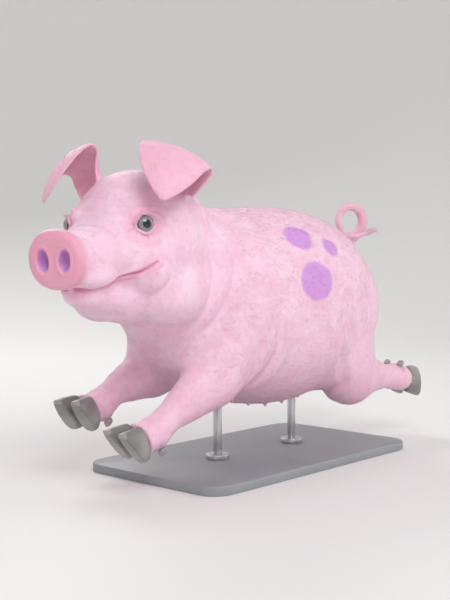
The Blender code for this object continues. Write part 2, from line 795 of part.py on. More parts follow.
def nostril_cutter(side, collection):
    cutter = ellipsoid("nostril_cutter", (0, 0, 0), NOSTRIL_HALF, collection, segments=16)
    lean = Matrix.Rotation(-NOSTRIL_LEAN * side, 4, "X")
    spot = Vector((NOSTRIL_PLACE.x, NOSTRIL_PLACE.y * side, NOSTRIL_PLACE.z))
    cutter.data.transform(Matrix.Translation(spot) @ lean)
    return cutter


def carve_head(flesh, collection):
    """Lids, eye sockets and the line of the mouth."""
    frame = head_frame()
    lids = []
    for side, name in ((1, "left"), (-1, "right")):
        lids.append(half_lid(f"upper_lid_{name}", side, True, collection))
        lids.append(half_lid(f"lower_lid_{name}", side, False, collection))
    place(lids, frame)
    combine(flesh, lids, "UNION")
    keep_largest(flesh)
    cutters = [mouth_cutter(flesh, collection)]
    for side in (1, -1):
        centre = eye_frame(side).translation
        cutters.append(ball("socket_cutter", centre, EYE_RADIUS + GAP, collection, 28))
    place(cutters, frame)
    combine(flesh, cutters, "DIFFERENCE")
    keep_largest(flesh)


def make_eye(side, name, collection):
    eye = ball(f"eye_{name}", eye_frame(side).translation, EYE_RADIUS, collection)
    place([eye], head_frame())
    return eye


def make_ear(side, name, collection):
    """A cupped leaf of gristle and skin that climbs from the poll and folds forward."""
    bm = bmesh.new()
    bmesh.ops.create_grid(bm, x_segments=EAR_ROWS, y_segments=EAR_COLUMNS, size=1.0)
    across = EAR_ACROSS.normalized()
    for vert in bm.verts:
        share = (vert.co.x + 1) / 2
        column = vert.co.y
        run = smooth_between(EAR_MIDRIB, share + 0.02) - smooth_between(EAR_MIDRIB, share - 0.02)
        outer_face = run.cross(across).normalized()
        half = smooth_between(EAR_HALF_WIDTHS, share)
        cup = smooth_between(EAR_CUPS, share) * column**2
        spot = smooth_between(EAR_MIDRIB, share) + across * half * column
        vert.co = spot - outer_face * cup
    if side < 0:
        bmesh.ops.transform(bm, matrix=Matrix.Diagonal((1, -1, 1, 1)), verts=bm.verts)
    bmesh.ops.transform(bm, matrix=head_frame(), verts=bm.verts)
    bmesh.ops.triangulate(bm, faces=bm.faces[:])
    ear = object_from(f"ear_{name}", bm, collection)
    shell = ear.modifiers.new("thickness", "SOLIDIFY")
    shell.thickness = EAR_THICKNESS
    shell.offset = 0.0
    apply_modifiers(ear)
    return ear


# Tail


def tail_path():
    """Points and radii from inside the rump, round the loop, to the tip."""
    points = [TAIL_ROOT, TAIL_ROOT.lerp(loop_point(0.0), 0.5)]
    points += [loop_point(k / TAIL_LOOP_STEPS) for k in range(TAIL_LOOP_STEPS + 1)]
    ending = (points[-1] - points[-2]).normalized()
    for k in range(1, TAIL_TIP_STEPS + 1):
        heading = (ending + TAIL_TIP_LIFT * k / TAIL_TIP_STEPS).normalized()
        points.append(points[-1] + heading * TAIL_TIP_LENGTH / TAIL_TIP_STEPS)
    last = len(points) - 1
    radii = [
        TAIL_ROOT_RADIUS + (TAIL_TIP_RADIUS - TAIL_ROOT_RADIUS) * (i / last) ** 0.75
        for i in range(last + 1)
    ]
    return points, radii


def loop_point(share):
    """A point on the tail's loop, which turns up and forward and swings to the left."""
    angle = TAIL_LOOP_START + TAIL_LOOP_TURN * share
    radius = TAIL_LOOP_RADIUS * (1.0 - 0.10 * share)
    sideways = TAIL_SWING * (share - 0.25)
    spot = Vector((-radius * math.cos(angle), sideways, radius * math.sin(angle)))
    return TAIL_LOOP_CENTRE + Matrix.Rotation(TAIL_LOOP_FACING, 3, "Z") @ spot


def make_tail(collection, cutters):
    """The tail as one tube, cut square across into four lengths."""
    points, radii = tail_path()
    curve = bpy.data.curves.new("tail", "CURVE")
    curve.dimensions = "3D"
    curve.bevel_depth = 1.0
    curve.bevel_resolution = 2
    curve.use_fill_caps = True
    spline = curve.splines.new("POLY")
    spline.points.add(len(points) - 1)
    for spot, point, radius in zip(spline.points, points, radii):
        spot.co = (*point, 1.0)
        spot.radius = radius
    rope = bpy.data.objects.new("tail_curve", curve)
    cutters.objects.link(rope)
    graph = bpy.context.evaluated_depsgraph_get()
    bm = bmesh.new()
    bm.from_mesh(rope.evaluated_get(graph).to_mesh())
    bmesh.ops.remove_doubles(bm, verts=bm.verts[:], dist=0.00005)
    bpy.data.objects.remove(rope)
    tail = object_from("tail", bm, cutters)
    last = len(points) - 1
    breaks = [round(last * share) for share in TAIL_BREAKS]
    discs = []
    for i in breaks:
        middle = points[i].lerp(points[i + 1], 0.5)
        heading = points[i + 1] - points[i]
        discs.append(thin_disc("tail_cutter", middle, heading, radii[i] + TAIL_DISC_MARGIN, cutters))
    edges = [0, *breaks, last]
    spots = {}
    for name, start, stop in zip(TAIL_LENGTHS, edges, edges[1:]):
        stretch = points[start : stop + 1]
        spots[name] = sum(stretch, Vector()) / len(stretch)
    return list(split(tail, discs, spots, collection).values())


# Display stand


def make_stand(collection, cutters):
    """A flat base with two short rods up to the belly, each in a collar."""
    bm = bmesh.new()
    size = Matrix.Diagonal((BASE_LENGTH, BASE_WIDTH, BASE_THICKNESS, 1.0))
    bmesh.ops.create_cube(bm, size=1.0, matrix=size)
    corners = [e for e in bm.edges if abs(e.verts[0].co.z - e.verts[1].co.z) > BASE_THICKNESS / 2]
    bmesh.ops.bevel(bm, geom=corners, offset=BASE_CORNER, segments=6, affect="EDGES", profile=0.5)
    rim = [e for e in bm.edges if all(v.co.z > BASE_THICKNESS * 0.49 for v in e.verts)]
    rim = [e for e in rim if len({round(f.normal.z, 1) for f in e.link_faces}) > 1]
    bmesh.ops.bevel(bm, geom=rim, offset=BASE_EDGE, segments=2, affect="EDGES", profile=0.5)
    bmesh.ops.translate(bm, verts=bm.verts, vec=(BASE_CENTRE_X, 0, BASE_THICKNESS / 2))
    base = object_from("stand_base", bm, collection)
    rods = []
    collars = []
    for name, x in ROD_PLACES.items():
        foot = BASE_THICKNESS + GAP
        rods.append(upright(f"stand_rod_{name}", x, foot, ROD_TOP, ROD_RADIUS, 20, collection))
        collar = upright(
            f"stand_collar_{name}", x, foot, foot + COLLAR_HEIGHT, COLLAR_RADIUS, 28, collection
        )
        hole = upright("hole", x, 0, ROD_TOP, ROD_RADIUS + GAP, 20, cutters)
        combine(collar, [hole], "DIFFERENCE")
        collars.append(collar)
    return base, rods, collars


def upright(name, x, low, high, radius, segments, collection):
    bm = bmesh.new()
    bmesh.ops.create_cone(
        bm, cap_ends=True, segments=segments, radius1=radius, radius2=radius, depth=high - low
    )
    bmesh.ops.translate(bm, verts=bm.verts, vec=(x, 0, (high + low) / 2))
    return object_from(name, bm, collection)


# The whole model


def leg_cutters_and_spots(legs, collection):
    """Two cuts for each leg, where it leaves the body and at the coronet, and a spot in between."""
    cutters = []
    spots = {}
    for leg in legs:
        share = LEG_CUT_SHARES[leg.name[:4]]
        upper = "forearm" if leg.name.startswith("fore") else "gaskin"
        top, heading = leg.point(upper, share), leg.bones[upper][1]
        coronet = leg.hoof_top - leg.along * GAP / 2
        cutters.append(thin_disc("leg_cutter", top, heading, LEG_CUT_RADIUS, collection))
        cutters.append(thin_disc("leg_cutter", coronet, leg.along, LEG_CUT_RADIUS, collection))
        spots[leg.name] = leg.point("cannon", 0.5)
    return cutters, spots


def trim_to_flesh(objects, flesh, cutters):
    """Cuts the pieces back to the flesh's surface, with a thin gap, and keeps what shows."""
    for obj in objects:
        combine(obj, [swollen(flesh, GAP, cutters)], "DIFFERENCE")
        keep_largest(obj)


def split_flesh(flesh, legs, collection, cutters):
    """Nostrils, then the cuts that make the head, snout, torso and legs separate nodes."""
    frame = head_frame()
    nostrils = [nostril_cutter(side, cutters) for side in (1, -1)]
    place(nostrils, frame)
    combine(flesh, nostrils, "DIFFERENCE")
    forward = frame.to_3x3() @ Vector((1, 0, 0))
    headward = frame.to_3x3() @ Vector((math.cos(HEAD_CUT_LEAN), 0, math.sin(HEAD_CUT_LEAN)))
    snout_middle = frame @ Vector((SNOUT_CUT, 0, 0))
    discs, spots = leg_cutters_and_spots(legs, cutters)
    discs.append(thin_disc("snout_cutter", snout_middle, forward, SNOUT_CUT_RADIUS, cutters))
    discs.append(thin_disc("head_cutter", frame @ HEAD_CUT_PLACE, headward, HEAD_CUT_RADIUS, cutters))
    discs.append(thin_disc("neck_cutter", NECK_CUT_PLACE, NECK_CUT_NORMAL, NECK_CUT_RADIUS, cutters))
    spots["snout"] = frame @ Vector((HEAD_LENGTH, 0, 0))
    spots["head"] = frame @ Vector((HEAD_LENGTH / 3, 0, 0))
    spots["neck"] = NECK_CUT_PLACE + NECK_CUT_NORMAL * NECK_THICKNESS / 2
    spots["torso"] = Vector((0, 0, TRUNK[5].z))
    return split(flesh, discs, spots, collection)


def main():
    clear_scene()
    pig = new_collection("domestic_pig")
    cutters = new_collection("cutters")
    legs = [Leg(pose) for pose in LEG_POSES]
    flesh = make_flesh(legs, cutters)
    behind_head = head_frame().inverted()
    thin_out(flesh, lambda co: (behind_head @ co).x > 0.0, HEAD_SHARE, FLESH_TRIANGLES)
    carve_head(flesh, cutters)

    base, rods, collars = make_stand(pig, cutters)
    ears = [make_ear(1, "left", pig), make_ear(-1, "right", pig)]
    tail = make_tail(pig, cutters)
    dewclaws = [make_dewclaw(leg, number, pig) for leg in legs for number in (0, 1)]
    trim_to_flesh([*rods, *ears, tail[0], *dewclaws], flesh, cutters)
    nodes = split_flesh(flesh, legs, pig, cutters)
    snout = nodes.pop("snout")
    eyes = [make_eye(1, "left", pig), make_eye(-1, "right", pig)]
    claws = [make_claw(leg, number, pig) for leg in legs for number in (0, 1)]

    looks = {
        SKIN: [*nodes.values(), *ears, *tail],
        SNOUT_SKIN: [snout],
        HORN: claws + dewclaws,
        EYE_GLOSS: eyes,
        PAINTED_BASE: [base],
        BRUSHED_STEEL: rods + collars,
    }
    half_round = Matrix.Rotation(math.pi, 4, "Z")
    for look, objects in looks.items():
        for obj in objects:
            obj.data.transform(half_round)
            give_look(obj, look)


if __name__ == "__main__":
    main()
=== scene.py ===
"""A young domestic pig in full leap, life size: its skin, bristles, eyes, hooves and display stand.

The frame is in metres, with the floor at Z 0. The pig looks along -X and its left side faces -Y.
Landmarks are written in the pig's own axes, x forward, y to its left and z up, and from_pig turns them.
"""

import math
from functools import partial

import bmesh
import bpy
import numpy as np
from bpy.props import FloatProperty, FloatVectorProperty, IntProperty, PointerProperty
from mathutils import Matrix, Vector
from mathutils.bvhtree import BVHTree


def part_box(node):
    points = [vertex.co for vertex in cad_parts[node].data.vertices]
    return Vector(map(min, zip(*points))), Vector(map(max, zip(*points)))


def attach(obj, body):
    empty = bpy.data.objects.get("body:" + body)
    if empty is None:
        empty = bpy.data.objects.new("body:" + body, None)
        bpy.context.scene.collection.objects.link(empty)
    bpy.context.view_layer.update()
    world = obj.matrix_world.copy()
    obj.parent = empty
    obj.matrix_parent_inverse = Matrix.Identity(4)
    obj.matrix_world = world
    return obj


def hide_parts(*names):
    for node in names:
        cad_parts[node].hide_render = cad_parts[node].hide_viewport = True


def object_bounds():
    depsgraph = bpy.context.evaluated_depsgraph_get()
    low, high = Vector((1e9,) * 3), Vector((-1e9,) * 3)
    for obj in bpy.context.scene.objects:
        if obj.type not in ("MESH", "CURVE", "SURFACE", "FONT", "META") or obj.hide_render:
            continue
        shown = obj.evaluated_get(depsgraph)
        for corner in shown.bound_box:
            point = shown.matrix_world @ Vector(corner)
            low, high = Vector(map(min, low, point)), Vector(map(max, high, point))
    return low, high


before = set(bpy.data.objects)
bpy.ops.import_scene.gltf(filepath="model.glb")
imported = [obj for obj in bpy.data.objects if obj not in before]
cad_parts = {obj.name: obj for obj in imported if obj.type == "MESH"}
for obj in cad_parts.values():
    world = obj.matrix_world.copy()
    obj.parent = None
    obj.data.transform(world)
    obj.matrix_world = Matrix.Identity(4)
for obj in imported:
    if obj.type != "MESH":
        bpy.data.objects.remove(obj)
cad_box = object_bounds()

bl_info = {
    "name": "Leaping Pig",
    "version": (1, 0, 0),
    "blender": (4, 5, 0),
    "location": "View3D > Sidebar > Pig",
    "description": "Skin, bristles, eyes, hooves and stand of a leaping domestic pig",
    "category": "Add Mesh",
}

# The pig's axes in the frame
PIG_TO_FRAME = Matrix.Rotation(math.pi, 4, "Z")

# Head: its own axes start at the centre of the occiput
HEAD_PLACE = Vector((0.306, 0.008, 0.462))
HEAD_TURN = math.radians(15)
HEAD_NOD = math.radians(7)
HEAD_SCALE = 1.14
HEAD_LENGTH = 0.277
EYE_LOOK = Vector((0.58, 0.80, 0.08))
EYE_SLANT = math.radians(6)
# The eyeball's radius as a share of its solid's
EYEBALL_SHARE = 0.995
# The mouth line from its corner to the front, on the left side of the head's axes
MOUTH_PATH = [
    (0.130, 0.074, -0.021),
    (0.156, 0.061, -0.036),
    (0.178, 0.050, -0.0435),
    (0.202, 0.040, -0.0465),
    (0.224, 0.031, -0.0465),
    (0.236, 0.020, -0.0465),
    (0.242, 0.007, -0.0465),
]
NOSTRIL_PLACE = Vector((0.278, 0.0185, 0.0005))
NOSTRIL_HALF = Vector((0.0190, 0.0098, 0.0160))

# Skin: its grain, how far it swells over the solids and the eyeballs, and its triangles
SKIN_VOXEL = 0.0024
SKIN_SWELL = 0.0004
EYE_CLEARANCE = 0.0008
SKIN_TRIANGLES = 185000
# Radii of the places that are refined and keep their fine faces: round an eye, along the mouth line, on the
# snout disc and round a teat, and the radius round an eye that is refined twice
EYE_KEPT = 0.036
MOUTH_KEPT = 0.020
SNOUT_KEPT = 0.062
TEAT_KEPT = 0.011
EYE_TWICE = 0.027
# In how many rounds, and how much in each, the parts of the body smooth the CAD facets away
SMOOTH_ROUNDS = 90
SMOOTHING = {
    "torso": 0.85,
    "neck": 0.80,
    "head": 0.20,
    "snout": 0.05,
    "ear": 0.025,
    "foreleg": 0.13,
    "hindleg": 0.13,
    "tail": 0.03,
}

# Eyelids: half-angles of the opening seen from the eyeball's centre, and the powers that round its outline
LID_HALF_WIDTH = math.radians(70)
LID_RISE = math.radians(62)
LID_DROP = math.radians(52)
LID_POWERS = (1.7, 2.2)
# Heights over the eyeball of the lid's edge, its body and its crease, and how far it dips inside the opening
LID_MARGIN = 0.0016
LID_BODY = 0.0034
LID_CREASE = 0.0014
LID_DIP = 0.0022
# Outwards from the opening: where the lid's edge, its body and its blend into the face start and end
LID_EDGE_SPAN = (-0.0013, 0.0003)
LID_BODY_SPAN = (0.0002, 0.0030)
LID_BLEND_SPAN = (0.0060, 0.0125)
# The crease's place and width, and the outer fold's place, width and height
LID_CREASE_AT = (0.0066, 0.0016)
LID_FOLD = (0.0095, 0.0018, 0.0010)

# Mouth: depth and width of the line, heights, place and width of the lips, then depth, place and width of
# the dimple behind each corner
MOUTH_CUT = (0.0050, 0.0021)
UPPER_LIP = 0.0012
LOWER_LIP = 0.0020
LIP_AT = (0.0062, 0.0036)
DIMPLE = (0.0022, 0.0125, 0.0040)

# Creases over the bridge of the snout: place along the head and depth
BRIDGE_CREASES = ((0.236, 0.0022), (0.222, 0.0016), (0.205, 0.0014), (0.186, 0.0010))
# Their width, how far they bow back at the sides and where the top starts, then each ridge behind a crease:
# its share of the depth, how far behind it lies and its width
CREASE_WIDTH = 0.0030
CREASE_BOW = 0.10
BRIDGE_TOP = (-0.010, 0.030)
CREASE_RIDGE = (0.5, 0.007, 0.0042)
# The rim round each nostril: height, ring and width, and where along the head it sets in
NOSTRIL_RIM = (0.0014, 1.30, 0.22)
RIM_ALONG = (0.262, 0.270)

# Mauve patches on the left loin and flank: place in the pig's axes and radius
PATCHES = [
    (Vector((0.036, 0.141, 0.466)), 0.028),
    (Vector((-0.052, 0.153, 0.446)), 0.019),
    (Vector((0.020, 0.176, 0.380)), 0.038),
]
PATCH_UNEVEN = 0.005
PATCH_LENGTHENED = 1.25
PATCH_EDGE = (-0.004, 0.005)

# How strongly each part of the body blushes
BLUSH = {"ear": 0.45, "snout": 0.35, "tail": 0.30, "foreleg": 0.18, "hindleg": 0.18, "torso": 0.05}
# Blush of the snout disc, round the eyes, along the mouth line and under the belly: its strength, then the
# place, distance or height at which it starts and is full
BLUSH_DISC = (0.85, 0.255, 0.268)
BLUSH_EYE = (0.55, 0.040, 0.020)
BLUSH_MOUTH = (0.95, 0.010, 0.002)
BLUSH_BELLY = (0.35, 0.22, 0.15)
# Painted shade in the hollows: strength and width of the shade along the mouth line, and where the painted
# shade inside a nostril starts
MOUTH_LINE_SHADE = (0.30, 0.0022)
NOSTRIL_SHADE_RING = (1.08, 0.90)
NOSTRIL_SHADE_ALONG = (0.250, 0.256)

# Folds of loose skin: a path near the skin in the pig's axes, its depth and its width
FOLDS = [
    ([(0.282, 0.105, 0.54), (0.268, 0.14, 0.46), (0.272, 0.134, 0.38), (0.3, 0.085, 0.3)], 0.0042, 0.006),
    ([(0.24, 0.105, 0.55), (0.228, 0.15, 0.46), (0.236, 0.142, 0.37), (0.262, 0.085, 0.29)], 0.003, 0.007),
    ([(0.276, -0.085, 0.540), (0.264, -0.128, 0.460), (0.268, -0.118, 0.375)], 0.0022, 0.007),
    ([(0.128, 0.158, 0.33), (0.12, 0.15, 0.262), (0.13, 0.118, 0.205), (0.165, 0.085, 0.178)], 0.0045, 0.008),
    ([(0.140, -0.158, 0.330), (0.130, -0.150, 0.262), (0.145, -0.115, 0.205)], 0.0040, 0.008),
    ([(-0.07, 0.172, 0.3), (-0.09, 0.155, 0.235), (-0.13, 0.118, 0.19), (-0.17, 0.08, 0.18)], 0.0045, 0.009),
    ([(-0.075, -0.172, 0.310), (-0.095, -0.155, 0.245), (-0.140, -0.115, 0.200)], 0.0045, 0.009),
]

# The roll of skin beside a fold: its share of the depth, then its place and width in widths of the fold
FOLD_ROLL = (0.45, 2.4, 1.5)

# Folds of the face, in the same way, on the left side of the head's axes
FACE_FOLDS = [
    ([(0.16, 0.05, 0.062), (0.14, 0.068, 0.066), (0.118, 0.078, 0.06), (0.1, 0.084, 0.046)], 0.0022, 0.003),
    (
        [(0.172, 0.05, 0.022), (0.156, 0.066, 0.01), (0.134, 0.078, 0.006), (0.112, 0.086, 0.012)],
        0.0018,
        0.0034,
    ),
    ([(0.178, 0.044, 0.010), (0.160, 0.062, -0.006), (0.138, 0.076, -0.012)], 0.0012, 0.0036),
    (
        [(0.128, 0.084, -0.008), (0.118, 0.088, -0.026), (0.114, 0.082, -0.046), (0.12, 0.068, -0.062)],
        0.0026,
        0.0044,
    ),
    ([(0.128, 0.006, 0.080), (0.122, 0.022, 0.079), (0.112, 0.036, 0.077)], 0.0011, 0.0028),
    ([(0.142, 0.006, 0.075), (0.136, 0.022, 0.074), (0.126, 0.036, 0.072)], 0.0011, 0.0028),
]

# Along each leg from the claws up: distance, width and depth of two narrowings and four creases
LEG_FORMS = [
    (0.024, 0.011, 0.0022),
    (0.082, 0.022, 0.0034),
    (0.013, 0.0020, 0.0011),
    (0.046, 0.0024, 0.0013),
    (0.053, 0.0022, 0.0009),
    (0.112, 0.0030, 0.0012),
]

# Belly: how far forward each pair of teats sits and how far from the middle, their height, the radii of
# their foot and tip, the swelling round each (height and width), and the navel's place and swelling
TEAT_PLACES = (0.125, 0.075, 0.022, -0.032, -0.085, -0.135)
TEAT_APART = 0.043
TEAT_HEIGHT = 0.0050
TEAT_SPAN = (0.0056, 0.0012)
TEAT_SWELLING = (0.0010, 0.0100)
NAVEL_PLACE = -0.010
NAVEL_SWELLING = (0.0030, 0.0070)

# Hooves: the remeshed grain, steps that smooth and then keep the bulk, the growth rings' spacing and height,
# a claw's radius, how far it reaches from its centre, and its length from the hair line
LEGS = ["foreleg_left", "foreleg_right", "hindleg_left", "hindleg_right"]
HOOF_VOXEL = 0.0014
HOOF_SMOOTHING = [0.6, -0.25] * 34
GROWTH_RING = 0.0042
RING_HEIGHT = 0.00005
HOOF_RADIUS = 0.020
HOOF_REACH = 0.04
HOOF_LENGTH = 0.02

TAIL_LOOP_CENTRE = Vector((-0.314, 0.012, 0.503))

# Hair of each part: length, width at the root, hairs for each square centimetre and lift from the skin
HAIR = {
    "torso": (0.0110, 0.00013, 9.0, 0.035),
    "neck": (0.0105, 0.00013, 9.0, 0.035),
    "head": (0.0055, 0.00012, 11.0, 0.06),
    "snout": (0.0034, 0.00010, 5.0, 0.12),
    "ear": (0.0060, 0.00012, 11.0, 0.10),
    "foreleg": (0.0070, 0.00013, 10.0, 0.05),
    "hindleg": (0.0072, 0.00013, 10.0, 0.05),
    "tail": (0.0100, 0.00014, 12.0, 0.12),
}
HAIRS_PER_TUFT = 2
COAT_SEED = 7
# Where a hair's seven points lie in its square of the texture, the square's size as a share of the texture,
# and the faces of the coarse skin that is unwrapped for it
HAIR_SPOTS = ((1, -1), (-1, -1), (0, -0.6), (0.7, 0.3), (-0.7, 0.3), (0, 0.5), (0, 1))
SPOT_SIZE = 0.003
UNWRAP_FACES = 9000
# How deep a hair's foot lies in the skin, and how far a hair stays inside the solids' box
FOOT_DEPTH = 0.0004
BOX_MARGIN = 0.0003
# Which way the hair lies: on the body in the frame, on the head and the left ear in the head's axes
LIE_BODY = (1.0, 0.0, -0.25)
LIE_HEAD = (-1.0, 0.0, -0.15)
LIE_EAR = (1.0, 0.15, -0.25)
# The spread of the hairs' lengths, how steeply they rise (at least, up to how much more, and the power that
# keeps it to a few), how high and thick a hair's middle is against its tip and its foot, and its points
HAIR_SIZES = (0.65, 1.15)
HAIR_RISES = (0.6, 3.0, 5)
HAIR_MIDDLE = (0.85, 0.75)
HAIR_POINTS = 7
# Hair over the hooves and at the tail's tip: the distances over which it sets in, and how much denser it is
FRINGE_SPAN = (0.014, 0.003)
FRINGE_DENSER = 2.5
TASSEL_SPAN = (0.030, 0.004)
TASSEL_DENSER = 2.0
# Where the hair stops: along the head at the snout disc, then away from an eye's centre and the mouth line
BARE_SNOUT = (0.258, 0.250)
BARE_LID = (0.0200, 0.0235)
BARE_MOUTH = (0.003, 0.007)

# Each piece of the coat: beginnings of its parts' names, its side, and how far it reaches along the body
TRUNK = ("torso", "neck")
COAT_PIECES = {
    "coat_left_shoulder": (TRUNK, "left", 0.12, 1.0),
    "coat_left_flank": (TRUNK, "left", -0.08, 0.12),
    "coat_left_rump": (TRUNK, "left", -1.0, -0.08),
    "coat_right_shoulder": (TRUNK, "right", 0.12, 1.0),
    "coat_right_flank": (TRUNK, "right", -0.08, 0.12),
    "coat_right_rump": (TRUNK, "right", -1.0, -0.08),
    "coat_left_cheek": (("head", "snout"), "left", -1.0, 1.0),
    "coat_right_cheek": (("head", "snout"), "right", -1.0, 1.0),
    "coat_ears": (("ear",), "", -1.0, 1.0),
    "coat_forelegs": (("foreleg",), "", -1.0, 1.0),
    "coat_hindlegs": (("hindleg",), "", -1.0, 1.0),
    "coat_tail": (("tail",), "", -1.0, 1.0),
}

# Lashes: how many on a lid, their sizes, and how far along the lid they are spread and may stand
LASHES = 34
LASH_LENGTH = 0.013
LASH_WIDTH = 0.00022
LASH_LIFT = 0.22
LASH_SEED = 11
LASH_REACH = 0.86
LASH_LIMIT = 0.9
# The way that a lash leans from its lid, and the way out of the lid, in the eye's axes
LASH_LEAN = Vector((0, 0.55, 0.2))
LASH_OUT = Vector((0, 1.0, 0.3))
# Whiskers: how many, their sizes, the spans along the head and down it over which they set in and stop, how
# many spots per square metre they are chosen from, and the way they point in the head's axes
WHISKERS = 90
WHISKER_LENGTH = 0.016
WHISKER_WIDTH = 0.00016
WHISKER_LIFT = 1.1
WHISKER_SEED = 5
WHISKER_ALONG = ((0.150, 0.200), (0.256, 0.246))
WHISKER_UP = (0.022, -0.016)
WHISKER_SPOTS = 1e5
WHISKER_WAY = (-0.7, 0.0, -0.7)

BACKDROP_RADIUS = 5.0
BACKDROP_BEND = 2.5
BACKDROP_HEIGHT = 5.0
# Lights: place, width and power
LIGHT_TARGET = Vector((-0.05, 0.0, 0.35))
LIGHTS = {
    "key": ((-1.6, -2.4, 2.6), 2.0, 58.0),
    "fill": ((2.6, -2.2, 1.4), 2.4, 20.0),
    "rim": ((0.8, 2.6, 2.4), 1.8, 40.0),
}
SURROUND = 0.68
CAMERA_TARGET = Vector((-0.0435, 0.0483, 0.335))

# Node settings that recur: a smooth step of a value, and a mix of colours
SMOOTH = {"interpolation_type": "SMOOTHSTEP"}
COLOURS = {"data_type": "RGBA"}


def from_pig(place):
    """A place in the pig's own axes, in the frame."""
    return PIG_TO_FRAME @ Vector(place)


def to_side(place, side):
    """A place given for the left, on the left for a side of 1 and on the right for -1."""
    return Vector((place[0], place[1] * side, place[2]))


def box_centre(node):
    """The centre of a CAD node's box."""
    low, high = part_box(node)
    return (Vector(low) + Vector(high)) / 2


def head_matrix():
    """The head's axes in the frame: x along the snout, y to the pig's left, z up."""
    turned = Matrix.Rotation(HEAD_TURN, 4, "Z") @ Matrix.Rotation(HEAD_NOD, 4, "Y")
    return PIG_TO_FRAME @ Matrix.Translation(HEAD_PLACE) @ turned @ Matrix.Scale(HEAD_SCALE, 4)


def eye_matrix(side):
    """An eye's axes in the frame: z looks out, y up, and x away from the snout on the left side only."""
    head = head_matrix().to_3x3()
    look = (head @ to_side(EYE_LOOK, side)).normalized()
    up = (head @ Vector((0, 0, 1))).normalized()
    up = (up - look * up.dot(look)).normalized()
    along = up.cross(look)
    turned = Matrix((along, up, look)).transposed().to_4x4()
    return Matrix.Translation(box_centre("eye_left" if side > 0 else "eye_right")) @ turned


def eye_radius():
    """The CAD eyeball's radius."""
    low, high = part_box("eye_left")
    return (high[2] - low[2]) / 2


def linear(code):
    """The linear colour of an sRGB hex code."""
    parts = [int(code[i : i + 2], 16) / 255 for i in (0, 2, 4)]
    return tuple(c / 12.92 if c <= 0.04045 else ((c + 0.055) / 1.055) ** 2.4 for c in parts)


def color(value):
    """A colour with full alpha, as sockets take it."""
    return (*value, 1.0)


def wire(inputs, values):
    """Links or sets some of a node's inputs: a socket is linked, and a plain value is set."""
    for name, value in values.items():
        if isinstance(value, bpy.types.NodeSocket):
            value.id_data.links.new(value, inputs[name])
        else:
            inputs[name].default_value = value


def add_node(nodes, kind, links, out=0, **settings):
    """Adds a shader node with its settings and links, and gives one of its outputs."""
    node = nodes.new("ShaderNode" + kind)
    for name, value in settings.items():
        setattr(node, name, value)
    wire(node.inputs, links)
    return node.outputs[out]


def new_material(name):
    """A material with one Principled shader: itself, the call that adds its nodes and the shader's inputs."""
    material = bpy.data.materials.new(name)
    material.use_nodes = True
    nodes = material.node_tree.nodes
    return material, partial(add_node, nodes), nodes["Principled BSDF"].inputs


def patch_mask(add, place):
    """How far a point lies inside one of the mauve patches, with soft and uneven edges."""
    noise = add("TexNoise", {"Vector": place, "Scale": 1 / 0.030, "Detail": 4.0})
    shift = add("Math", {0: noise, 1: 2 * PATCH_UNEVEN, 2: -PATCH_UNEVEN}, operation="MULTIPLY_ADD")
    squeeze = Vector((1 / PATCH_LENGTHENED, 1.0, 1.0))
    squeezed = add("VectorMath", {0: place, 1: squeeze}, operation="MULTIPLY")
    total = None
    for spot, radius in PATCHES:
        links = {0: squeezed, 1: from_pig(spot) * squeeze}
        distance = add("VectorMath", links, "Value", operation="DISTANCE")
        uneven = add("Math", {0: distance, 1: shift}, operation="ADD")
        inner, outer = radius + PATCH_EDGE[0], radius + PATCH_EDGE[1]
        inside = add("MapRange", {0: uneven, 1: inner, 2: outer, 3: 1, 4: 0}, **SMOOTH)
        total = inside if total is None else add("Math", {0: total, 1: inside}, operation="MAXIMUM")
    return total


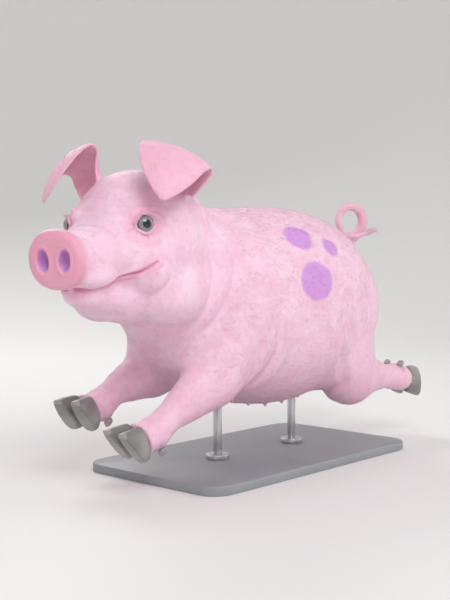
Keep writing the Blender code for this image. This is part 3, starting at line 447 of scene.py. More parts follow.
def skin_material(settings):
    """Living skin under sparse bristles: soft light scatter, a satin surface, blushed where it is thin, with
    painted shade in the mouth line and the nostrils.
    """
    material, add, shader = new_material("pig_skin")
    place = add("TexCoord", {}, "Object")
    names = ("blush", "hollow", "bare")
    blush, dark, bare = (add("Attribute", {}, "Fac", attribute_name=name) for name in names)
    cloud = add("TexNoise", {"Vector": place, "Scale": 1 / 0.045, "Detail": 5.0, "Roughness": 0.6})
    mottle = add("TexNoise", {"Vector": place, "Scale": 1 / 0.009, "Detail": 4.0, "Roughness": 0.65})
    base = color(settings.skin_colour)
    layers = [
        (add("MapRange", {0: cloud, 1: 0.35, 2: 0.68}, **SMOOTH), settings.pale_colour),
        (add("MapRange", {0: mottle, 1: 0.48, 2: 0.72, 4: 0.35}, **SMOOTH), settings.blush_colour),
        (blush, settings.blush_colour),
        (patch_mask(add, place), settings.patch_colour),
        # Painted shade in the mouth line and inside the nostrils
        (dark, settings.hollow_shade_colour),
    ]
    for mask, over in layers:
        base = add("Mix", {0: mask, 6: base, 7: color(over)}, 2, **COLOURS)
    rough = add("MapRange", {0: mottle, 1: 0.3, 2: 0.7, 3: 0.50, 4: 0.62}, **SMOOTH)
    rough = add("Math", {0: bare, 1: -0.22, 2: rough}, operation="MULTIPLY_ADD")
    # Skin lozenges 2.6 mm across, drawn a little coarser than real ones so that they show
    links = {0: mottle.node.outputs["Color"], 1: (0.002,) * 3, 2: place}
    warp = add("VectorMath", links, operation="MULTIPLY_ADD")
    lozenge = add("TexVoronoi", {"Vector": warp, "Scale": 1 / 0.0026}, feature="DISTANCE_TO_EDGE")
    lozenge = add("MapRange", {0: lozenge, 1: 0.0, 2: 0.22}, **SMOOTH)
    # The bare snout is set with low round bumps 3 mm apart
    bead = add("TexVoronoi", {"Vector": warp, "Scale": 1 / 0.0030}, feature="SMOOTH_F1")
    bead = add("MapRange", {0: bead, 1: 0.0, 2: 0.6, 3: 1, 4: 0}, **SMOOTH)
    bead = add("Math", {0: bead, 1: bare}, operation="MULTIPLY")
    # Hair lying flat draws fine streaks along the body
    streak = add("Mapping", {"Vector": place, "Scale": (1 / 0.016, 1 / 0.0022, 1 / 0.0022)})
    streak = add("TexNoise", {"Vector": streak, "Scale": 1.0, "Detail": 2.0})
    heights = [(lozenge, 0.0004, 0.35), (cloud, 0.003, 0.10), (bead, 0.0009, 0.40), (streak, 0.0009, 0.30)]
    relief = {}
    for height, depth, strength in heights:
        relief = {"Normal": add("Bump", relief | {"Height": height, "Distance": depth, "Strength": strength})}
    # Living skin scatters red light furthest, about 3 mm here
    scatter = {"Subsurface Weight": 0.22, "Subsurface Radius": (1.0, 0.42, 0.30), "Subsurface Scale": 0.0035}
    satin = {"Roughness": rough, "IOR": 1.42, "Sheen Weight": 0.12, "Sheen Roughness": 0.4}
    wire(shader, {"Base Color": base} | satin | scatter | relief)
    return material


def bristle_material(settings):
    """Pig bristle: a stiff glossy hair, palest at its tip, pink on pink skin and mauve over the patches."""
    material, add, shader = new_material("pig_bristle")
    place = add("TexCoord", {}, "Object")
    shade, along = (add("Attribute", {}, "Fac", attribute_name=name) for name in ("shade", "along"))
    base = color(settings.hair_colour)
    layers = [
        (shade, settings.hair_shade_colour),
        (add("MapRange", {0: along, 1: 0.0, 2: 0.8, 3: 0.45, 4: 0}, **SMOOTH), settings.root_colour),
        (patch_mask(add, place), settings.patch_hair_colour),
    ]
    for mask, over in layers:
        base = add("Mix", {0: mask, 6: base, 7: color(over)}, 2, **COLOURS)
    wire(shader, {"Base Color": base, "Roughness": 0.42, "IOR": 1.55, "Sheen Weight": 0.15})
    return material


def eye_material(settings):
    """A living eye: wet clear cornea over a grey iris with fine spokes, a dark rim and a dark pupil."""
    material, add, shader = new_material("wet_eye")
    gaze = add("Attribute", {}, "Vector", attribute_name="gaze")
    aside, aloft = add("SeparateXYZ", {0: gaze}).node.outputs[:2]
    across = add("Math", {0: aside, 1: settings.pupil_squeeze}, operation="MULTIPLY")
    flat, oval = (add("CombineXYZ", {0: x, 1: aloft}) for x in (aside, across))
    reach, pupil_reach = (add("VectorMath", {0: v}, "Value", operation="LENGTH") for v in (flat, oval))
    angle = add("Math", {0: aloft, 1: aside}, operation="ARCTAN2")
    spokes = add("CombineXYZ", {0: angle, 1: reach})
    spokes = add("Mapping", {"Vector": spokes, "Scale": (14.0, 2.2, 1.0)})
    spokes = add("TexNoise", {"Vector": spokes, "Scale": 1.0, "Detail": 4.0})
    size = settings.pupil_size
    layers = [
        ({0: spokes, 1: 0.35, 2: 0.66}, settings.iris_colour),
        ({0: reach, 1: 0.30, 2: 0.62}, settings.iris_colour),
        ({0: reach, 1: 0.74, 2: 0.82}, settings.rim_colour),
        ({0: reach, 1: 0.86, 2: 0.94}, settings.white_colour),
        ({0: pupil_reach, 1: size - 0.03, 2: size + 0.03, 3: 1, 4: 0}, settings.pupil_colour),
    ]
    base = color(settings.iris_dark)
    for step, over in layers:
        mask = add("MapRange", step, **SMOOTH)
        base = add("Mix", {0: mask, 6: base, 7: color(over)}, 2, **COLOURS)
    relief = add("Bump", {"Height": spokes, "Distance": 0.0004, "Strength": 0.2})
    cornea = {"Roughness": 0.12, "IOR": 1.38, "Coat Weight": 1.0, "Coat Roughness": 0.02}
    wire(shader, {"Base Color": base, "Normal": relief} | cornea)
    return material


def horn_material(settings):
    """Hoof horn: layered keratin in dull grey, with growth rings, fine strands and a worn edge."""
    material, add, shader = new_material("hoof_horn")
    place = add("TexCoord", {}, "Object")
    growth, around = (add("Attribute", {}, "Fac", attribute_name=name) for name in ("growth", "around"))
    cloud = add("TexNoise", {"Vector": place, "Scale": 1 / 0.012, "Detail": 5.0})
    uneven = add("Math", {0: cloud, 1: 0.004, 2: growth}, operation="MULTIPLY_ADD")
    phase = add("Math", {0: uneven, 1: 2 * math.pi / GROWTH_RING}, operation="MULTIPLY")
    rings = add("Math", {0: phase}, operation="SINE")
    # Horn strands run down the wall, drawn 1.6 mm wide so that they show
    run = add("CombineXYZ", {0: around, 1: growth})
    run = add("Mapping", {"Vector": run, "Scale": (1 / 0.0016, 1 / 0.025, 1.0)})
    strands = add("TexNoise", {"Vector": run, "Scale": 1.0, "Detail": 3.0})
    layers = [
        ({0: rings, 1: -0.6, 2: 0.9, 4: 0.20}, settings.horn_light),
        ({0: strands, 1: 0.52, 2: 0.74, 4: 0.5}, settings.horn_dark),
        ({0: growth, 1: 0.012, 2: 0.0, 4: 0.55}, settings.horn_band),
        ({0: growth, 1: 0.030, 2: 0.052, 4: 0.6}, settings.horn_dark),
    ]
    base = color(settings.horn_colour)
    for step, over in layers:
        mask = add("MapRange", step, **SMOOTH)
        base = add("Mix", {0: mask, 6: base, 7: color(over)}, 2, **COLOURS)
    rough = add("MapRange", {0: strands, 1: 0.3, 2: 0.7, 3: 0.26, 4: 0.40}, **SMOOTH)
    relief = {}
    for height, depth, strength in [(rings, 0.0003, 0.10), (strands, 0.0004, 0.20)]:
        relief = {"Normal": add("Bump", relief | {"Height": height, "Distance": depth, "Strength": strength})}
    # A worn hoof keeps a slight polish
    polish = {"IOR": 1.54, "Coat Weight": 0.2, "Coat Roughness": 0.25}
    wire(shader, {"Base Color": base, "Roughness": rough} | polish | relief)
    return material


def board_material(settings):
    """Satin paint sprayed on a fine-grained board: near even, with a slight orange-peel relief."""
    material, add, shader = new_material("satin_painted_board")
    place = add("TexCoord", {}, "Object")
    cloud = add("TexNoise", {"Vector": place, "Scale": 1 / 0.12, "Detail": 3.0})
    peel = add("TexNoise", {"Vector": place, "Scale": 1 / 0.0035, "Detail": 2.0})
    mask = add("MapRange", {0: cloud, 1: 0.3, 2: 0.7}, **SMOOTH)
    links = {0: mask, 6: color(settings.board_colour), 7: color(settings.board_light)}
    base = add("Mix", links, 2, **COLOURS)
    rough = add("MapRange", {0: cloud, 1: 0.3, 2: 0.7, 3: 0.40, 4: 0.48}, **SMOOTH)
    relief = add("Bump", {"Height": peel, "Distance": 0.0003, "Strength": 0.12})
    wire(shader, {"Base Color": base, "Roughness": rough, "Normal": relief})
    return material


def steel_material():
    """Stainless steel rod, brushed along its length: a bright metal with stretched highlights."""
    material, add, shader = new_material("brushed_stainless_steel")
    place = add("TexCoord", {}, "Object")
    # Brush lines 0.9 mm apart and 50 mm long, coarser than real ones so that they show
    lines = add("Mapping", {"Vector": place, "Scale": (1 / 0.0009, 1 / 0.0009, 1 / 0.05)})
    brush = add("TexNoise", {"Vector": lines, "Scale": 1.0, "Detail": 3.0})
    links = {0: brush, 6: color(linear("B9BBBD")), 7: color(linear("D6D8D9"))}
    base = add("Mix", links, 2, **COLOURS)
    rough = add("MapRange", {0: brush, 1: 0.3, 2: 0.7, 3: 0.24, 4: 0.38}, **SMOOTH)
    relief = add("Bump", {"Height": brush, "Distance": 0.0002, "Strength": 0.15})
    wire(shader, {"Base Color": base, "Metallic": 1.0, "Roughness": rough, "Normal": relief})
    return material


def backdrop_material(settings):
    """Seamless backdrop paper: matt, pale and even."""
    material, _, shader = new_material("backdrop_paper")
    wire(shader, {"Base Color": color(settings.floor_colour), "Roughness": 0.85})
    return material


def read(items, name, width, kind=float):
    """An array with a row for each of a mesh's points, edges or triangles."""
    values = np.empty(len(items) * width, kind)
    items.foreach_get(name, values)
    return values.reshape(-1, width)


def mesh_of(bm, name):
    """A new mesh of what a bmesh holds, which is then freed."""
    mesh = bpy.data.meshes.new(name)
    bm.to_mesh(mesh)
    bm.free()
    return mesh


class Surface:
    """The points and edges of a mesh, for smoothing and sculpting all at once."""

    def __init__(self, mesh):
        self.mesh = mesh
        self.points = read(mesh.vertices, "co", 3)
        self.first, self.second = read(mesh.edges, "vertices", 2, np.int64).T
        ends = np.concatenate([self.first, self.second])
        self.degree = np.maximum(np.bincount(ends, minlength=len(self.points)), 1)

    def average(self, values):
        """The mean over each point's neighbours."""
        count = len(self.degree)
        columns = values.reshape(count, -1).T
        sums = [
            np.bincount(self.first, column[self.second], count)
            + np.bincount(self.second, column[self.first], count)
            for column in columns
        ]
        return (np.array(sums) / self.degree).T.reshape(values.shape)

    def smooth(self, strength, rounds):
        """Moves each point towards its neighbours' mean by its own strength."""
        for _ in range(rounds):
            self.points += strength[:, None] * (self.average(self.points) - self.points)

    def normals(self):
        """The normal at each point."""
        self.write()
        return read(self.mesh.vertex_normals, "vector", 3, np.float32).astype(float)

    def push(self, distance):
        """Moves each point along its normal."""
        self.points += self.normals() * distance[:, None]

    def write(self):
        """Puts the points back in the mesh."""
        self.mesh.vertices.foreach_set("co", self.points.ravel())
        self.mesh.update()

    def tree(self):
        """A search tree of the faces."""
        return BVHTree.FromPolygons(self.points.tolist(), [p.vertices[:] for p in self.mesh.polygons])


def smooth_step(value, low, high):
    """A smooth step from 0 at low to 1 at high."""
    share = np.clip((value - low) / (high - low), 0.0, 1.0)
    return share * share * (3 - 2 * share)


def bell(distance, width):
    """A bell curve of height 1."""
    return np.exp(-((distance / width) ** 2))


def to_local(points, matrix):
    """Points given in another set of axes."""
    inverse = np.array(matrix.inverted())
    return points @ inverse[:3, :3].T + inverse[:3, 3]


def far_from(points, place):
    """The distance of each point from a place."""
    return np.linalg.norm(points - np.array(place), axis=1)


def near_path(points, path):
    """The distance of each point from a path, and the vector from the path's nearest place."""
    best = np.full(len(points), np.inf)
    offset = np.zeros_like(points)
    for start, end in zip(path[:-1], path[1:]):
        start, run = np.array(start), np.array(end) - np.array(start)
        share = np.clip((points - start) @ run / (run @ run), 0.0, 1.0)
        away = points - (start + share[:, None] * run)
        distance = np.linalg.norm(away, axis=1)
        closer = distance < best
        best[closer], offset[closer] = distance[closer], away[closer]
    return best, offset


def curve_through(path, steps=6):
    """More places along a path, on a smooth curve through its points."""
    ends = [path[0] * 2 - path[1], *path, path[-1] * 2 - path[-2]]
    places = []
    for before, start, end, after in zip(ends, ends[1:], ends[2:], ends[3:]):
        for step in range(steps):
            t = step / steps
            places.append(
                0.5 * (2 * start + (end - before) * t + (2 * before - 5 * start + 4 * end - after) * t**2)
                + 0.5 * (3 * start - before - 3 * end + after) * t**3
            )
    return places + [path[-1]]


def flesh_names():
    """The CAD nodes of flesh."""
    return [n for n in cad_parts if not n.startswith(("stand_", "eye_")) and "claw" not in n]


def merged_copy(names, swell, balls=()):
    """A mesh of the named CAD nodes, each merged and swollen a little, with balls added."""
    whole = bmesh.new()
    for name in names:
        one = bmesh.new()
        one.from_mesh(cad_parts[name].data)
        bmesh.ops.remove_doubles(one, verts=one.verts, dist=1e-5)
        one.normal_update()
        for vert, shift in [(v, v.normal * swell) for v in one.verts]:
            vert.co += shift
        copy = mesh_of(one, name)
        whole.from_mesh(copy)
        bpy.data.meshes.remove(copy)
    for centre, radius in balls:
        place = Matrix.Translation(centre)
        bmesh.ops.create_uvsphere(whole, u_segments=32, v_segments=20, radius=radius, matrix=place)
    return mesh_of(whole, "merged")


def add_object(name, data):
    """A new object in the scene."""
    obj = bpy.data.objects.new(name, data)
    bpy.context.scene.collection.objects.link(obj)
    return obj


def finish_piece(obj, material, slot, *nodes):
    """Gives a piece its material and its body, and hides the CAD nodes that it stands for. The slot argument
    is not used.
    """
    obj.data.materials.append(material)
    if nodes:
        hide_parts(*nodes)
    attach(obj, "root")


def with_modifiers(obj):
    """Turns an object's modified shape into its mesh."""
    depsgraph = bpy.context.evaluated_depsgraph_get()
    mesh = bpy.data.meshes.new_from_object(obj.evaluated_get(depsgraph))
    obj.modifiers.clear()
    old, obj.data = obj.data, mesh
    bpy.data.meshes.remove(old)


def remesh(obj, voxel):
    """One even surface round everything in the mesh."""
    modifier = obj.modifiers.new("remesh", "REMESH")
    modifier.mode = "VOXEL"
    modifier.voxel_size = voxel
    with_modifiers(obj)


def keep_largest(mesh):
    """Drops every closed surface but the largest."""
    bm = bmesh.new()
    bm.from_mesh(mesh)
    bm.verts.ensure_lookup_table()
    unseen = set(range(len(bm.verts)))
    groups = []
    while unseen:
        stack = [bm.verts[unseen.pop()]]
        group = list(stack)
        while stack:
            for edge in stack.pop().link_edges:
                for vert in edge.verts:
                    if vert.index in unseen:
                        unseen.discard(vert.index)
                        stack.append(vert)
                        group.append(vert)
        groups.append(group)
    groups.sort(key=len)
    loose = [vert for group in groups[:-1] for vert in group]
    bmesh.ops.delete(bm, geom=loose, context="VERTS")
    bm.to_mesh(mesh)
    bm.free()


def node_tree(names):
    """A search tree of some CAD nodes' faces, and the node of each face."""
    verts, faces, owners = [], [], []
    for name in names:
        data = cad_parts[name].data
        start = len(verts)
        verts += [v.co.copy() for v in data.vertices]
        faces += [[start + i for i in p.vertices] for p in data.polygons]
        owners += [name] * len(data.polygons)
    return BVHTree.FromPolygons(verts, faces), owners


def nearest_nodes(points):
    """The name of the CAD node of flesh that lies nearest to each point."""
    tree, owners = node_tree(flesh_names())
    return np.array([owners[tree.find_nearest(p)[2]] for p in points.tolist()])


def by_part(names, values, rest=0.0):
    """A number for each point from a table of name beginnings."""
    result = np.full(len(names), rest)
    for start, value in values.items():
        result[np.char.startswith(names, start)] = value
    return result


def at_parts(names, *starts):
    """1 at each point of the parts whose names begin so, and 0 elsewhere."""
    return by_part(names, dict.fromkeys(starts, 1.0))


def refine(mesh, places):
    """Splits the faces round some places once more."""
    surface = Surface(mesh)
    bm = bmesh.new()
    bm.from_mesh(mesh)
    bm.edges.ensure_lookup_table()
    chosen = np.zeros(len(surface.points), bool)
    for centre, radius in places:
        chosen |= far_from(surface.points, centre) < radius
    edges = [bm.edges[i] for i in np.nonzero(chosen[surface.first] & chosen[surface.second])[0]]
    bmesh.ops.subdivide_edges(bm, edges=edges, cuts=1, use_grid_fill=True)
    bmesh.ops.triangulate(bm, faces=[f for f in bm.faces if len(f.verts) > 4])
    bm.to_mesh(mesh)
    bm.free()


def shape_eyelids(surface, side):
    """Opens the lids over one eyeball and rounds their margins and creases."""
    radius = eye_radius()
    matrix = eye_matrix(side)
    local = to_local(surface.points, matrix)
    reach = np.linalg.norm(local, axis=1)
    chosen = np.nonzero((reach < radius * 2.2) & (local[:, 2] > -0.3 * radius))[0]
    spot, reach = local[chosen], reach[chosen]
    lean = math.sin(EYE_SLANT * side), math.cos(EYE_SLANT)
    across = spot[:, 0] * lean[1] + spot[:, 1] * lean[0]
    up = spot[:, 1] * lean[1] - spot[:, 0] * lean[0]
    wide = np.arctan2(across, spot[:, 2]) / LID_HALF_WIDTH
    high = np.arctan2(up, spot[:, 2])
    high = np.where(high > 0, high / LID_RISE, high / LID_DROP)
    ring = (np.abs(wide) ** LID_POWERS[0] + np.abs(high) ** LID_POWERS[1]) ** 0.5
    out = (ring - 1) * LID_DROP * radius
    margin = radius + LID_MARGIN
    body = radius + LID_BODY
    wanted = radius - LID_DIP + (margin - radius + LID_DIP) * smooth_step(out, *LID_EDGE_SPAN)
    wanted += (body - margin) * smooth_step(out, *LID_BODY_SPAN)
    crease = np.where(up > 0, 1.0, 0.6) * bell(out - LID_CREASE_AT[0], LID_CREASE_AT[1])
    wanted -= (LID_BODY - LID_CREASE) * crease
    keep = smooth_step(out, *LID_BLEND_SPAN)
    fold = LID_FOLD[2] * bell(out - LID_FOLD[0], LID_FOLD[1])
    new_reach = wanted * (1 - keep) + (reach + fold) * keep
    moved = spot * (new_reach / reach)[:, None]
    turn = np.array(matrix)
    surface.points[chosen] = moved @ turn[:3, :3].T + turn[:3, 3]


def mouth_line(surface, side):
    """The mouth line laid on the skin, from the corner to the chin, in the frame."""
    head = head_matrix()
    tree = surface.tree()
    path = curve_through([to_side(p, side) for p in MOUTH_PATH])
    places = np.array([tree.find_nearest(head @ p)[0][:] for p in path])
    for _ in range(30):
        places[1:-1] = (places[:-2] + 2 * places[1:-1] + places[2:]) / 4
    return [tree.find_nearest(Vector(p))[0] for p in places]


def shape_mouth(surface):
    """Cuts the mouth line and rounds the lips, on both sides, and dimples the cheek behind each corner."""
    push = np.zeros(len(surface.points))
    for side in (1, -1):
        path = mouth_line(surface, side)
        distance, offset = near_path(surface.points, path)
        push -= MOUTH_CUT[0] * bell(distance, MOUTH_CUT[1])
        push += np.where(offset[:, 2] > 0, UPPER_LIP, LOWER_LIP) * bell(distance - LIP_AT[0], LIP_AT[1])
        behind = smooth_step(surface.points[:, 0] - path[0].x, 0.0, 0.006)
        push -= DIMPLE[0] * bell(far_from(surface.points, path[0]) - DIMPLE[1], DIMPLE[2]) * behind
    surface.push(push)


def nostril_ring(y, z, side):
    """How far points of the head lie from a nostril's middle, as a share of its half size."""
    across, up = (y - side * NOSTRIL_PLACE.y) / NOSTRIL_HALF.y, (z - NOSTRIL_PLACE.z) / NOSTRIL_HALF.z
    return np.sqrt(across**2 + up**2)


def shape_snout(surface):
    """Creases the bridge of the snout and raises a rim round each nostril."""
    local = to_local(surface.points, head_matrix())
    x, y, z = local.T
    push = np.zeros(len(local))
    top = smooth_step(z, *BRIDGE_TOP)
    bow = x + CREASE_BOW * np.abs(y)
    share, behind, wide = CREASE_RIDGE
    for place, depth in BRIDGE_CREASES:
        push -= depth * bell(bow - place, CREASE_WIDTH) * top
        push += share * depth * bell(bow - place + behind, wide) * top
    height, middle, wide = NOSTRIL_RIM
    for side in (1, -1):
        push += height * bell(nostril_ring(y, z, side) - middle, wide) * smooth_step(x, *RIM_ALONG)
    surface.push(push)


def shape_folds(surface, folds, axes):
    """Presses soft folds into the skin, each given by a path near it in some axes."""
    tree = surface.tree()
    push = np.zeros(len(surface.points))
    share, beside, wide = FOLD_ROLL
    for path, depth, width in folds:
        places = [tree.find_nearest(axes @ p)[0] for p in curve_through([Vector(p) for p in path], 8)]
        distance, _ = near_path(surface.points, places)
        ends = np.minimum(far_from(surface.points, places[0]), far_from(surface.points, places[-1]))
        fade = smooth_step(ends, 0.0, 4 * width)
        push -= depth * bell(distance, width) * fade
        push += share * depth * bell(distance - beside * width, wide * width) * fade
    surface.push(push)


def shape_legs(surface, names):
    """Narrows each pastern and cannon, and creases the skin over the joints."""
    legs = np.nonzero(at_parts(names, "foreleg", "hindleg"))[0]
    points = surface.points[legs]
    nodes = [node for leg in LEGS for node in foot_nodes(leg)]
    gap = distance_to_nodes(points, [n for n in nodes if "dewclaw" not in n], 0.20)
    clear = smooth_step(distance_to_nodes(points, [n for n in nodes if "dewclaw" in n], 0.03), 0.002, 0.010)
    push = np.zeros(len(surface.points))
    for place, width, depth in LEG_FORMS:
        push[legs] -= depth * bell(gap - place, width) * clear
    for _ in range(2):
        push = surface.average(push)
    surface.push(push)


def teat_spots(surface):
    """Where the teats sit on the belly's skin, in the frame."""
    tree = surface.tree()
    feet = [from_pig((x, side * TEAT_APART, 0.0)) for x in TEAT_PLACES for side in (1, -1)]
    return [tree.ray_cast(foot, Vector((0, 0, 1)))[0] for foot in feet]


def shape_belly(surface):
    """Raises two rows of small teats under the belly, and the navel between them."""
    push = np.zeros(len(surface.points))
    under = smooth_step(-surface.normals()[:, 2], 0.4, 0.7)
    for spot in teat_spots(surface):
        away = np.hypot(surface.points[:, 0] - spot.x, surface.points[:, 1] - spot.y)
        swelling = TEAT_SWELLING[0] * bell(away, TEAT_SWELLING[1])
        push += (TEAT_HEIGHT * smooth_step(away, *TEAT_SPAN) + swelling) * under
    navel = np.array(from_pig((NAVEL_PLACE, 0.0, 0.0)))
    away = np.hypot(surface.points[:, 0] - navel[0], surface.points[:, 1] - navel[1])
    push += NAVEL_SWELLING[0] * bell(away, NAVEL_SWELLING[1]) * under
    surface.push(push)


def thin_out(obj, total, keep_near):
    """Thins the body's faces until few enough are left, and spares those near some places."""
    surface = Surface(obj.data)
    spare = np.zeros(len(surface.points))
    for centre, radius in keep_near:
        spare = np.maximum(spare, smooth_step(far_from(surface.points, centre), radius * 1.25, radius))
    group = obj.vertex_groups.new(name="thin")
    for level in range(5):
        members = np.nonzero(np.round((1 - spare) * 4) == level)[0]
        group.add(members.tolist(), level / 4, "REPLACE")
    obj.data.calc_loop_triangles()
    modifier = obj.modifiers.new("thin", "DECIMATE")
    modifier.ratio = total / len(obj.data.loop_triangles)
    modifier.vertex_group = "thin"
    modifier.vertex_group_factor = 1.0
    with_modifiers(obj)
    obj.vertex_groups.clear()


def store(mesh, name, values):
    """Keeps a number or a vector for each point of a mesh, for its material."""
    kind, field = ("FLOAT", "value") if values.ndim == 1 else ("FLOAT_VECTOR", "vector")
    attribute = mesh.attributes.new(name, kind, "POINT")
    attribute.data.foreach_set(field, values.astype(np.float32).ravel())


def mark_skin(surface, names):
    """Writes where the skin blushes, where shade is painted into the mouth line and the nostrils, and where
    the skin lies bare.
    """
    points = surface.points
    head = to_local(points, head_matrix())
    blush = by_part(names, BLUSH)
    x, y, z = head.T
    snout = at_parts(names, "snout")
    disc = smooth_step(x, *BLUSH_DISC[1:]) * snout
    blush = np.maximum(blush, BLUSH_DISC[0] * disc)
    hollow = np.zeros(len(points))
    for side in (1, -1):
        eye = far_from(points, eye_matrix(side).translation)
        blush = np.maximum(blush, BLUSH_EYE[0] * smooth_step(eye, *BLUSH_EYE[1:]))
        mouth, _ = near_path(points, mouth_line(surface, side))
        blush = np.maximum(blush, BLUSH_MOUTH[0] * smooth_step(mouth, *BLUSH_MOUTH[1:]))
        # Painted shade along the mouth line and inside each nostril
        hollow = np.maximum(hollow, MOUTH_LINE_SHADE[0] * bell(mouth, MOUTH_LINE_SHADE[1]))
        inside = smooth_step(nostril_ring(y, z, side), *NOSTRIL_SHADE_RING) * smooth_step(x, *NOSTRIL_SHADE_ALONG)
        hollow = np.maximum(hollow, inside * snout)
    belly = smooth_step(points[:, 2], *BLUSH_BELLY[1:]) * at_parts(names, "torso")
    blush = np.maximum(blush, BLUSH_BELLY[0] * belly)
    for _ in range(8):
        blush = surface.average(blush)
    store(surface.mesh, "blush", blush)
    store(surface.mesh, "hollow", surface.average(hollow))
    store(surface.mesh, "bare", disc)


def fine_places():
    """The places on the head that keep their fine faces, with radii."""
    head = head_matrix()
    places = [(eye_matrix(side).translation, EYE_KEPT) for side in (1, -1)]
    places.append((head @ Vector((HEAD_LENGTH - 0.020, 0, 0)), SNOUT_KEPT))
    places += [(head @ to_side(p, side), MOUTH_KEPT) for side in (1, -1) for p in MOUTH_PATH[:4]]
    return places


def make_skin(settings):
    """One skin over all the flesh, smoothed off the CAD facets, with lids, lips, nostrils and folds."""
    eyes = [(eye_matrix(side).translation, eye_radius() + EYE_CLEARANCE) for side in (1, -1)]
    obj = add_object("skin", merged_copy(flesh_names(), SKIN_SWELL, eyes))
    remesh(obj, SKIN_VOXEL)
    keep_largest(obj.data)
    surface = Surface(obj.data)
    names = nearest_nodes(surface.points)
    strength = by_part(names, SMOOTHING)
    for _ in range(12):
        strength = surface.average(strength)
    surface.smooth(0.9 * strength, SMOOTH_ROUNDS)
    surface.push(np.full(len(surface.points), -settings.inset))
    shape_folds(surface, FOLDS, PIG_TO_FRAME)
    shape_legs(surface, names)
    surface.write()
    places = fine_places() + [(spot, TEAT_KEPT) for spot in teat_spots(surface)]
    refine(obj.data, places)
    refine(obj.data, [(eye_matrix(side).translation, EYE_TWICE) for side in (1, -1)])
    surface = Surface(obj.data)
    fine = np.zeros(len(surface.points))
    for centre, radius in places:
        fine = np.maximum(fine, smooth_step(far_from(surface.points, centre), radius, radius * 0.8))
    surface.smooth(0.5 * fine, 6)
    shape_belly(surface)
    shape_mouth(surface)
    shape_snout(surface)
    for side in (1, -1):
        folds = [([to_side(p, side) for p in path], depth, width) for path, depth, width in FACE_FOLDS]
        shape_folds(surface, folds, head_matrix())
        shape_eyelids(surface, side)
    surface.write()
    thin_out(obj, SKIN_TRIANGLES, places)
    surface = Surface(obj.data)
    mark_skin(surface, nearest_nodes(surface.points))
    obj.data.shade_smooth()
    finish_piece(obj, skin_material(settings), "skin", *flesh_names())


def make_eyes(settings):
    """The eyeballs, with the way that each point faces kept for the iris pattern."""
    material = eye_material(settings)
    radius = eye_radius() * EYEBALL_SHARE
    for name, side in (("left", 1), ("right", -1)):
        bm = bmesh.new()
        bmesh.ops.create_uvsphere(bm, u_segments=64, v_segments=48, radius=radius)
        mesh = mesh_of(bm, "eyeball_" + name)
        store(mesh, "gaze", read(mesh.vertices, "co", 3) / radius)
        mesh.transform(eye_matrix(side))
        mesh.shade_smooth()
        finish_piece(add_object(mesh.name, mesh), material, "eye", "eye_" + name)


def foot_nodes(leg):
    """The claws and dewclaws of one foot."""
    return [f"{leg}_{kind}_{place}" for kind in ("claw", "dewclaw") for place in ("outer", "inner")]


def make_hooves(settings):
    """The claws and dewclaws of all four feet."""
    material = horn_material(settings)
    for leg in LEGS:
        make_foot(leg, material)


def make_foot(leg, material):
    """The claws and dewclaws of one foot, rounded off, with their growth measured from the hair line."""
    obj = add_object("hooves_" + leg, merged_copy(foot_nodes(leg), 0.0))
    remesh(obj, HOOF_VOXEL)
    surface = Surface(obj.data)
    for strength in HOOF_SMOOTHING:
        surface.smooth(np.full(len(surface.points), strength), 1)
    growth = np.full(len(surface.points), np.inf)
    around = np.zeros(len(surface.points))
    for node in foot_nodes(leg):
        shape = read(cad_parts[node].data.vertices, "co", 3)
        centre = shape.mean(0)
        axis = np.linalg.svd(shape - centre)[2][0]
        if axis @ (centre - np.array(box_centre(leg))) < 0:
            axis = -axis
        start = ((shape - centre) @ axis).min()
        along = (surface.points - centre) @ axis - start
        away = far_from(surface.points, centre)
        box_low, box_high = shape.min(0) - 0.002, shape.max(0) + 0.002
        inside = np.all((surface.points > box_low) & (surface.points < box_high), axis=1)
        inside &= (away < HOOF_REACH) & (along < growth)
        growth[inside] = along[inside]
        first = np.cross(axis, [0.0, 0.0, 1.0])
        flat = (surface.points - centre) @ np.column_stack([first, np.cross(axis, first)])
        around[inside] = (np.arctan2(flat[:, 1], flat[:, 0]) * HOOF_RADIUS)[inside]
    growth[np.isinf(growth)] = HOOF_LENGTH
    surface.push(RING_HEIGHT * np.sin(growth * 2 * math.pi / GROWTH_RING))
    surface.write()
    store(obj.data, "growth", growth)
    store(obj.data, "around", around)
    obj.data.shade_smooth()
    finish_piece(obj, material, "hoof_horn", *foot_nodes(leg))


def distance_to_nodes(points, names, reach):
    """The distance of each point from the nearest of some CAD nodes, or 1 m where it is out of reach."""
    tree, _ = node_tree(names)
    found = (tree.find_nearest(p, reach) for p in points.tolist())
    return np.array([1.0 if f[3] is None else f[3] for f in found])


def tail_end(points, names):
    """The end of the tail: its point furthest back."""
    tail = points[np.char.startswith(names, "tail_tip")]
    return tail[tail[:, 0].argmax()]


def lie_of_hair(surface, names):
    """The direction in which the hair lies at each point, before it is laid on the skin."""
    points = surface.points
    lie = np.tile(LIE_BODY, (len(points), 1))
    for leg in LEGS:
        claw = np.array(box_centre(leg + "_claw_outer"))
        chosen = np.char.startswith(names, leg)
        lie[chosen] = claw - points[chosen]
    head = np.array(head_matrix())[:3, :3]
    lie[at_parts(names, "head", "snout") > 0] = head @ np.array(LIE_HEAD)
    for ear, side in (("ear_left", 1), ("ear_right", -1)):
        lie[np.char.startswith(names, ear)] = head @ (np.array(LIE_EAR) * [1, side, 1])
    chosen = np.char.startswith(names, "tail")
    away = points[chosen] - np.array(from_pig(TAIL_LOOP_CENTRE))
    lie[chosen] = np.column_stack([-away[:, 2], np.zeros(len(away)), away[:, 0]])
    chosen = np.char.startswith(names, "tail_tip")
    lie[chosen] = tail_end(points, names) - points[chosen].mean(0)
    lie /= np.linalg.norm(lie, axis=1)[:, None]
    for _ in range(25):
        lie = surface.average(lie)
    return lie


